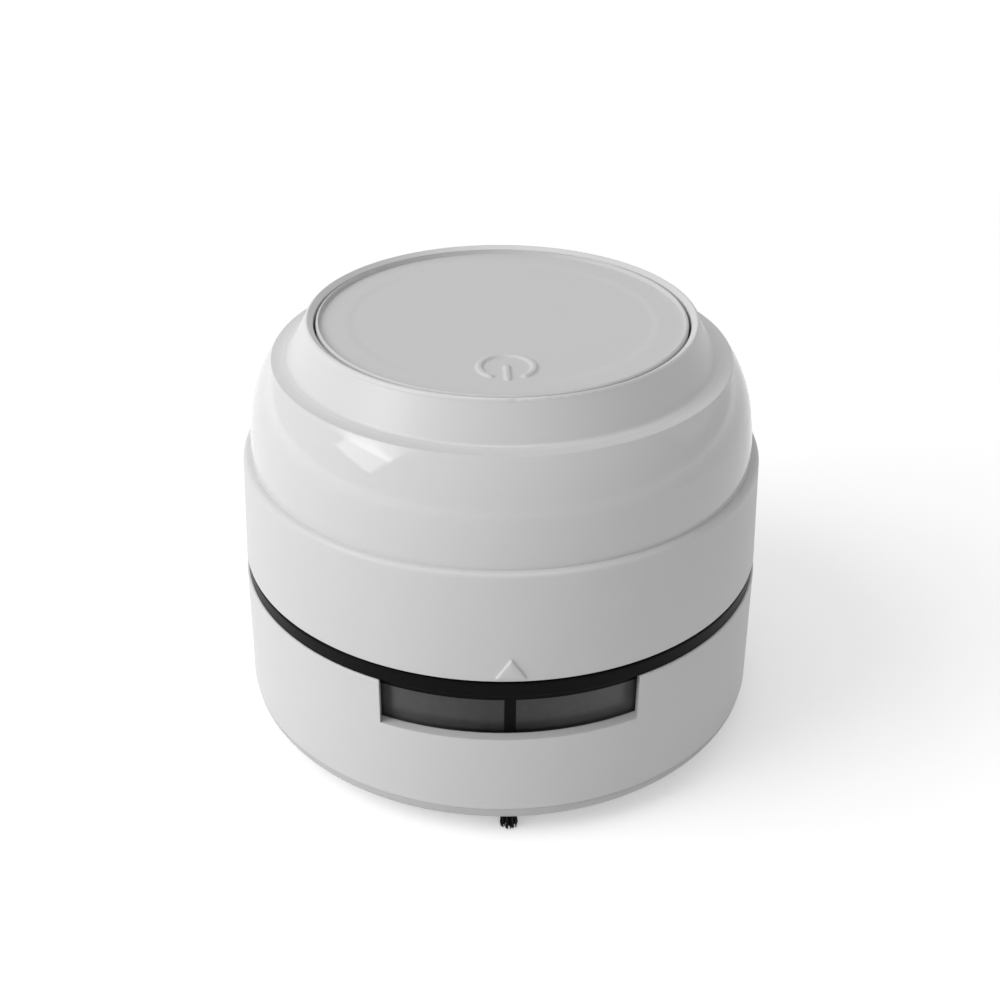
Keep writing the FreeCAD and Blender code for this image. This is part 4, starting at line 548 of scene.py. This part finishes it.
def upright_leg(bearing):
    """A snap leg: its outline, in (radius, height), carried sideways about a bearing in degrees."""
    points, quads = prism(LEG_OUTLINE, -LEG_HALF_WIDTH, LEG_HALF_WIDTH)
    c, s = math.cos(math.radians(bearing)), math.sin(math.radians(bearing))
    r, up, side = points.T
    return np.column_stack([r * c - side * s, r * s + side * c, up]), quads


legs = [upright_leg(bearing) for bearing in (90, 210, 330)]
pins = [prism(disc_outline(PIN_RADIUS, at), PIN_FOOT, LEG_TOP)
        for at in on_circle(PIN_CIRCLE, PIN_BEARINGS)]
stem = prism(disc_outline(STEM_RADIUS, STEM_PLACE), STEM_FOOT, LEG_TOP)
button = carve(solid("round_button", button_shell()), legs + pins + [stem], [])
dress(button, "button", "button_white", "top_button")

# %% [markdown]
# ## The body band
# The tapered band is turned, with a round shoulder where it meets the dome. Inside it has three
# lugs that lock into the cup and four pads that carry the motor plate. Its back has the exhaust
# slots and the charging port, and its front a small raised pointer.

# %% Body band
BAND_FOOT, BAND_TOP = 29.25, 46.95
POINTER_RISE = np.array([41.3, 42.45, 42.63, 42.72, 42.75])
POINTER_INSET = np.array([0, 0, 0.05, 0.15, 0.3])
band = solid("tapered_band", turned([(40.92, BAND_FOOT), (42.42, BAND_FOOT, 0.3), (41.52, BAND_TOP, 0.8),
                                     (40.12, BAND_TOP), (40.12, 46.3), (40.3, 46.1)]))
lugs = [block(39.95, 41.9, 29.9, 31.0, bearing, 8.0) for bearing in (-90, 30, 150)]
cover_screws = [20, 160, 200, -20]
pads = [block(34.3, 41.2, 36.6, 38.0, bearing, 5.0) for bearing in cover_screws]


def pointer_shell():
    """The raised triangle: its outline drawn in towards its middle by a little more at each step outwards,
    which rounds the edges of its face."""
    foot, tip, half = 29.9, 33.3, 2.35
    outline = soften([(-half, foot, 0.1), (half, foot, 0.1), (0, tip, 0.15)], 3)
    reach = (tip - foot) / 3
    middle = np.array([0, foot + reach])
    rings = [middle + (outline - middle) * (1 - inset / reach) for inset in POINTER_INSET]
    cap = np.broadcast_to(middle, outline.shape)
    rows = np.stack([cap, *rings, cap])
    out = np.r_[POINTER_RISE[0], POINTER_RISE, POINTER_RISE[-1]][:, None]
    points = np.stack([rows[..., 0], -np.broadcast_to(out, rows.shape[:2]), rows[..., 1]], -1)
    return points.reshape(-1, 3), grid_faces(len(rows), len(outline), False, True)


# The slots, the port and the screw holes are all cut a little deeper than the wall they pass.
slots = [prism(oval(0.8, 2.4, 0.3, (0, 35.6)), 38, 45, bearing) for bearing in range(60, 121, 6)]
port = prism(oval(4.85, 1.95, 1.8, (0, 43.4)), 38, 45, 90)
screw_holes = [prism(disc_outline(1.1, at), 36, 39) for at in on_circle(36.2, cover_screws)]
carve(band, lugs + pads + [pointer_shell()], slots + [port] + screw_holes)
dress(band, "upper_body", "band_white", "body_band")

# %% [markdown]
# ## The dust cup
# The cup is one moulding: a turned wall that leans inwards a little, so that it comes out of the
# mould, and a floor with two suction slots. The window's notch is cut from the rim down to the
# sill, and four bosses under the floor take the screws of the base.

# %% Cup
CUP_FOOT, CUP_RIM, SILL = 5.62, 26.5, 18.9
cup = solid("cup_moulding", turned([(0, 6.2), (41.2, 6.2), (41.2, CUP_FOOT), (43.0, CUP_FOOT, 0.05),
                                    (42.6, CUP_RIM, 0.3), (41.1, CUP_RIM), (41.1, 7.6, 1.5), (0, 7.6)]))
corners = [(x, y) for x in (-33.5, 33.5) for y in (-9.0, 9.0)]
bosses = [prism(disc_outline(2.4, at), 4.45, 6.4) for at in corners]
pilots = [prism(disc_outline(0.85, at), 4.0, 7.1) for at in corners]
suction = [prism(oval(2.4, 28.0, 1.6, (x, 0)), 5.0, 8.5) for x in (-6.0, 6.0)]
notch_outline = np.array([(-19.6, -45.2), (19.6, -45.2), (19.0, -34.9), (-19.0, -34.9)])
notch = prism(notch_outline, SILL, CUP_RIM + 1)
carve(cup, bosses, pilots + suction + [notch])
dress(cup, "dust_cup", "shell_white", "lower_shell")

# %% [markdown]
# ## The button's springs
# Three coil springs push the button back up. A spring is a round wire carried along a helix. When
# the button goes down, the coils close up; here they are drawn as they stand with the button up.

# %% Springs
SPRING_SEAT, SPRING_TOP = 58.55, 65.4
COIL_RADIUS, WIRE_RADIUS, COIL_TURNS = 2.1, 0.25, 4


def coil(at, steps=128, sides=10):
    """A wire along a helix: the line is (R cos s, R sin s, rise * s), and each ring lies in the plane of
    the outward unit vector and the one square to it and to the line. Both ends are closed by a fan."""
    s = np.linspace(0, 2 * math.pi * COIL_TURNS, steps)[:, None]
    rise = (SPRING_TOP - SPRING_SEAT - 2 * WIRE_RADIUS) / s[-1, 0]
    out = np.stack([np.cos(s), np.sin(s), 0 * s], -1)
    line = out * COIL_RADIUS + np.stack([0 * s, 0 * s, SPRING_SEAT + WIRE_RADIUS + rise * s], -1)
    up = np.stack([np.sin(s) * rise, -np.cos(s) * rise, 0 * s + COIL_RADIUS], -1)
    up = up / math.hypot(rise, COIL_RADIUS)
    turn = np.linspace(0, 2 * math.pi, sides, endpoint=False)[None, :, None]
    rings = line + WIRE_RADIUS * (np.cos(turn) * out + np.sin(turn) * up)
    ends = np.broadcast_to(line[[0, -1]], (2, sides, 3))
    rings = np.concatenate([ends[:1], rings, ends[1:]]) + np.array([*at, 0])
    return rings.reshape(-1, 3), grid_faces(steps + 2, sides, False, True)


springs = solid("coil_springs", *[coil(at) for at in on_circle(PIN_CIRCLE, PIN_BEARINGS)])
dress(springs, "upper_body", "spring_steel", "button_springs")
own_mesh(springs)

# %% [markdown]
# ## The filter's mesh
# The filter is a woven disc of nylon thread. Each thread runs over and under the threads that
# cross it, so its height is a cosine with a period of two threads. Real threads are far finer,
# and are drawn a good millimetre apart so that they show.

# %% Woven mesh
MESH_RADIUS, MESH_MIDDLE = 35.0, 21.0
THREAD_PITCH, THREAD_RADIUS = 1.3, 0.105
THREAD_LIFT = 0.9
THREAD_STEPS = 109


def threads(across):
    """Parallel threads of a round mesh: thread k lies at (k + 1/2) pitch from the middle and is as long
    as the chord there. Its height is (-1)^k cos(pi t / pitch) times most of its radius. The threads
    that run the other way swap x and y and lift the other way."""
    side = int(MESH_RADIUS / THREAD_PITCH)
    k = np.arange(-side, side)
    at = (k + 0.5) * THREAD_PITCH
    half = np.sqrt(MESH_RADIUS ** 2 - at ** 2)
    t = np.linspace(-1, 1, THREAD_STEPS)[None] * half[:, None]
    sign = np.where(k % 2 == 0, 1.0, -1.0)[:, None] * (-1 if across else 1)
    height = MESH_MIDDLE + sign * np.cos(math.pi * t / THREAD_PITCH) * THREAD_RADIUS * THREAD_LIFT
    line = np.stack([t, np.broadcast_to(at[:, None], t.shape), height], -1)
    corner = np.arange(4) * math.pi / 2
    ring = np.stack([0 * corner, np.cos(corner), np.sin(corner)], 1) * THREAD_RADIUS
    points = line[:, :, None] + ring
    return points[..., [1, 0, 2]] if across else points


weave = [threads(False), threads(True)]
mesh_disc = solid("woven_mesh", *[(points.reshape(-1, 3), rods(points)) for points in weave])
dress(mesh_disc, "filter_unit", "filter_cloth", "filter_mesh")

# %% [markdown]
# ## The bristles
# On the real brush each tuft is a bundle of nylon bristles, folded in half and punched into the
# bar, so it spreads a little towards the table. Each bristle is a thin tapered rod. They are
# drawn thicker than real ones, which are about a tenth of a millimetre, so that they show. The
# tufts at both ends lean outwards, because the one in the photograph stands out past the base.

# %% Bristles in their tufts
TUFTS = 26
TUFT_PITCH = 3.11
END_LEAN = 1.3
BRISTLES_PER_TUFT = 90
BRISTLE_RADIUS = 0.13
ROOT_HEIGHT, TIP_HEIGHT, TIP_UNEVEN = 3.4, 0.12, 0.3
ROOT_SPREAD, TIP_SPREAD, TIP_LIMIT = 1.05, 1.4, 1.45
STRAY, BOW, TAPER = 0.12, 0.15, 0.25
random = np.random.default_rng(7)


def bristles():
    """Points of all bristles: root + (tip - root) * t + a sideways bow of t * (1 - t), each ring a small
    square whose radius shrinks by a quarter towards the tip. Roots fill a disc evenly by the
    sunflower rule: radius sqrt(k / n), angle 2.4 k."""
    k = np.tile(np.arange(BRISTLES_PER_TUFT), TUFTS)
    tuft = np.repeat(np.arange(TUFTS) - (TUFTS - 1) / 2, BRISTLES_PER_TUFT) * TUFT_PITCH
    reach = np.sqrt((k + 0.5) / BRISTLES_PER_TUFT)
    turn = 2.4 * k + random.uniform(0, 0.4, k.size)
    side = np.stack([np.cos(turn), np.sin(turn)], 1) * reach[:, None]
    root = np.column_stack([side * ROOT_SPREAD, np.full(k.size, ROOT_HEIGHT)])
    spread = side * TIP_SPREAD + random.uniform(-STRAY, STRAY, side.shape)
    tip = np.column_stack([np.clip(spread, -TIP_LIMIT, TIP_LIMIT),
                           TIP_HEIGHT + random.uniform(0, TIP_UNEVEN, k.size)])
    tip[:, 1] += END_LEAN * np.sign(tuft) * (np.abs(tuft) > (TUFTS / 2 - 1) * TUFT_PITCH)
    bow = np.column_stack([random.uniform(-BOW, BOW, (k.size, 2)), np.zeros(k.size)])
    t = np.linspace(0, 1, 4)[None, :, None, None]
    line = root[:, None, None] + (tip - root)[:, None, None] * t + 4 * bow[:, None, None] * t * (1 - t)
    corner = np.arange(4) * math.pi / 2
    ring = np.stack([np.cos(corner), np.sin(corner), np.zeros(4)], 1)[None, None]
    points = line + ring * BRISTLE_RADIUS * (1 - TAPER * t)
    points[..., 1] += tuft[:, None, None]
    return points


rod_points = bristles()
brush = solid("bristles", (rod_points.reshape(-1, 3), rods(rod_points)))
dress(brush, "dust_cup", "bristle_black", "brush_tufts")

# %% [markdown]
# ## The table
# A plain pale table lies under the object. It is lit like everything else, so it takes the
# object's shadow, and a part of its brightness is its own for the camera. That part grows with
# the distance from the object, so that the table fades into the white background.

# %% Table
FADE_STARTS, FADE_ENDS = 0.3, 0.9
GLOW_NEAR, GLOW_FAR = 0.375, 0.9
bpy.ops.mesh.primitive_plane_add(size=6)
table = bpy.context.object
table.name = "table"
material, tree, output = new_material("paper_white")
seen = seen_rays(tree)
lit = add(tree, "ShaderNodeBsdfDiffuse", {"Color": colour("#F0F0F0")})
matt = add(tree, "ShaderNodeBsdfDiffuse", {"Color": colour("#FFFFFF")})
away = add(tree, "ShaderNodeVectorMath", {"operation": "LENGTH"},
           {0: add(tree, "ShaderNodeTexCoord").outputs["Object"]})
level = add(tree, "ShaderNodeMapRange", {"From Min": FADE_STARTS, "From Max": FADE_ENDS,
                                         "To Min": GLOW_NEAR, "To Max": GLOW_FAR},
            {"Value": away.outputs["Value"]})
glow = add(tree, "ShaderNodeEmission", {"Color": (1, 1, 1, 1)}, {"Strength": level.outputs[0]})
bright = add(tree, "ShaderNodeAddShader", {}, {0: matt.outputs[0], 1: glow.outputs[0]})
mixed = add(tree, "ShaderNodeMixShader", {}, {0: seen.outputs[0], 1: lit.outputs[0], 2: bright.outputs[0]})
tree.links.new(mixed.outputs[0], output.inputs["Surface"])
table.data.materials.append(material)
print("table is", table.dimensions[0], "m wide")

# %% [markdown]
# ## Light
# The photograph has a bright room on the left that falls off to the right. A world that is
# brighter on the left gives that, one soft lamp from the upper left gives the shadow, and a
# small softbox gives the clear patch of light on the dome. Its size and turn are set so that
# its reflection falls where the photograph has that patch. A panel overhead shows only in the
# gloss: it draws a thin light line along every rounded edge.

# %% World and lamps
ROOM_LEFT, ROOM_RIGHT = 0.74, 0.17
AIM_HEIGHT = 0.04
world = bpy.data.worlds.new("studio")
bpy.context.scene.world = world
world.use_nodes = True
tree = world.node_tree
tree.nodes.clear()
sky_point = add(tree, "ShaderNodeTexCoord").outputs["Generated"]
direction = add(tree, "ShaderNodeSeparateXYZ", {}, {0: sky_point})
fall = add(tree, "ShaderNodeMapRange", {"From Min": -1.0, "From Max": 1.0,
                                        "To Min": ROOM_LEFT, "To Max": ROOM_RIGHT},
           {"Value": direction.outputs["X"]})
room = add(tree, "ShaderNodeBackground", {"Color": (1, 1, 1, 1)}, {"Strength": fall.outputs[0]})
white = add(tree, "ShaderNodeBackground", {"Color": (1, 1, 1, 1), "Strength": 1.0})
seen = seen_rays(tree)
mixed = add(tree, "ShaderNodeMixShader", {}, {0: seen.outputs[0], 1: room.outputs[0], 2: white.outputs[0]})
tree.links.new(mixed.outputs[0], add(tree, "ShaderNodeOutputWorld").inputs["Surface"])


def lamp(name, azimuth, elevation, distance, width, height, radiance, roll=0.0):
    """A soft rectangular lamp that faces the object, with its distance and size in metres. Its power
    comes from the radiance that it should show: power = radiance * pi * area. Azimuth is counted from
    the window's side, to the right, in degrees."""
    light = bpy.data.lights.new(name, "AREA")
    light.shape = "RECTANGLE"
    light.size, light.size_y = width, height
    light.energy = radiance * math.pi * width * height
    piece = bpy.data.objects.new(name, light)
    a, e = math.radians(azimuth), math.radians(elevation)
    place = Matrix.Translation((distance * math.cos(e) * math.sin(a), -distance * math.cos(e) * math.cos(a),
                                distance * math.sin(e) + AIM_HEIGHT))
    aim = Matrix.Rotation(a, 4, "Z") @ Matrix.Rotation(math.pi / 2 - e, 4, "X")
    piece.matrix_world = place @ aim @ Matrix.Rotation(math.radians(roll), 4, "Z")
    piece.visible_camera = False
    bpy.context.scene.collection.objects.link(piece)
    return piece


lamp("window_light", -72, 43, 1.1, 0.7, 0.7, 2.6)
lamp("softbox", -67, 23, 0.8, 0.31, 0.24, 2.6, -18)
lamp("fill", 105, 24, 1.0, 0.7, 0.5, 0.35)
sky = lamp("sky_panel", 0, 88, 1.0, 0.6, 0.6, 2.2)
sky.visible_diffuse = False

# %% [markdown]
# ## Camera
# A 50 mm lens on a 36 mm frame, 201 mm from the middle of the object, 152 mm above the table,
# looking 30.3 degrees down and standing 2.3 degrees to the left of the window.

# %% Camera
CAMERA_DISTANCE, CAMERA_HEIGHT = 200.8, 152.1
CAMERA_PITCH, CAMERA_ROLL = math.radians(30.31), math.radians(0.46)
CAMERA_STAND, CAMERA_AIM = math.radians(-2.3), math.radians(-2.262)
lens = bpy.data.cameras.new("camera")
lens.lens, lens.sensor_width, lens.clip_start, lens.clip_end = 50.0, 36.0, 0.01, 20.0
camera = bpy.data.objects.new("camera", lens)
bpy.context.scene.collection.objects.link(camera)
place = Matrix.Translation((CAMERA_DISTANCE * MM * math.sin(CAMERA_STAND),
                            -CAMERA_DISTANCE * MM * math.cos(CAMERA_STAND), CAMERA_HEIGHT * MM))
aim = Matrix.Rotation(CAMERA_AIM, 4, "Z") @ Matrix.Rotation(math.pi / 2 - CAMERA_PITCH, 4, "X")
camera.matrix_world = place @ aim @ Matrix.Rotation(CAMERA_ROLL, 4, "Z")
bpy.context.scene.camera = camera
bpy.context.scene.view_settings.view_transform = "Standard"
print("camera at", tuple(round(v, 4) for v in camera.location))
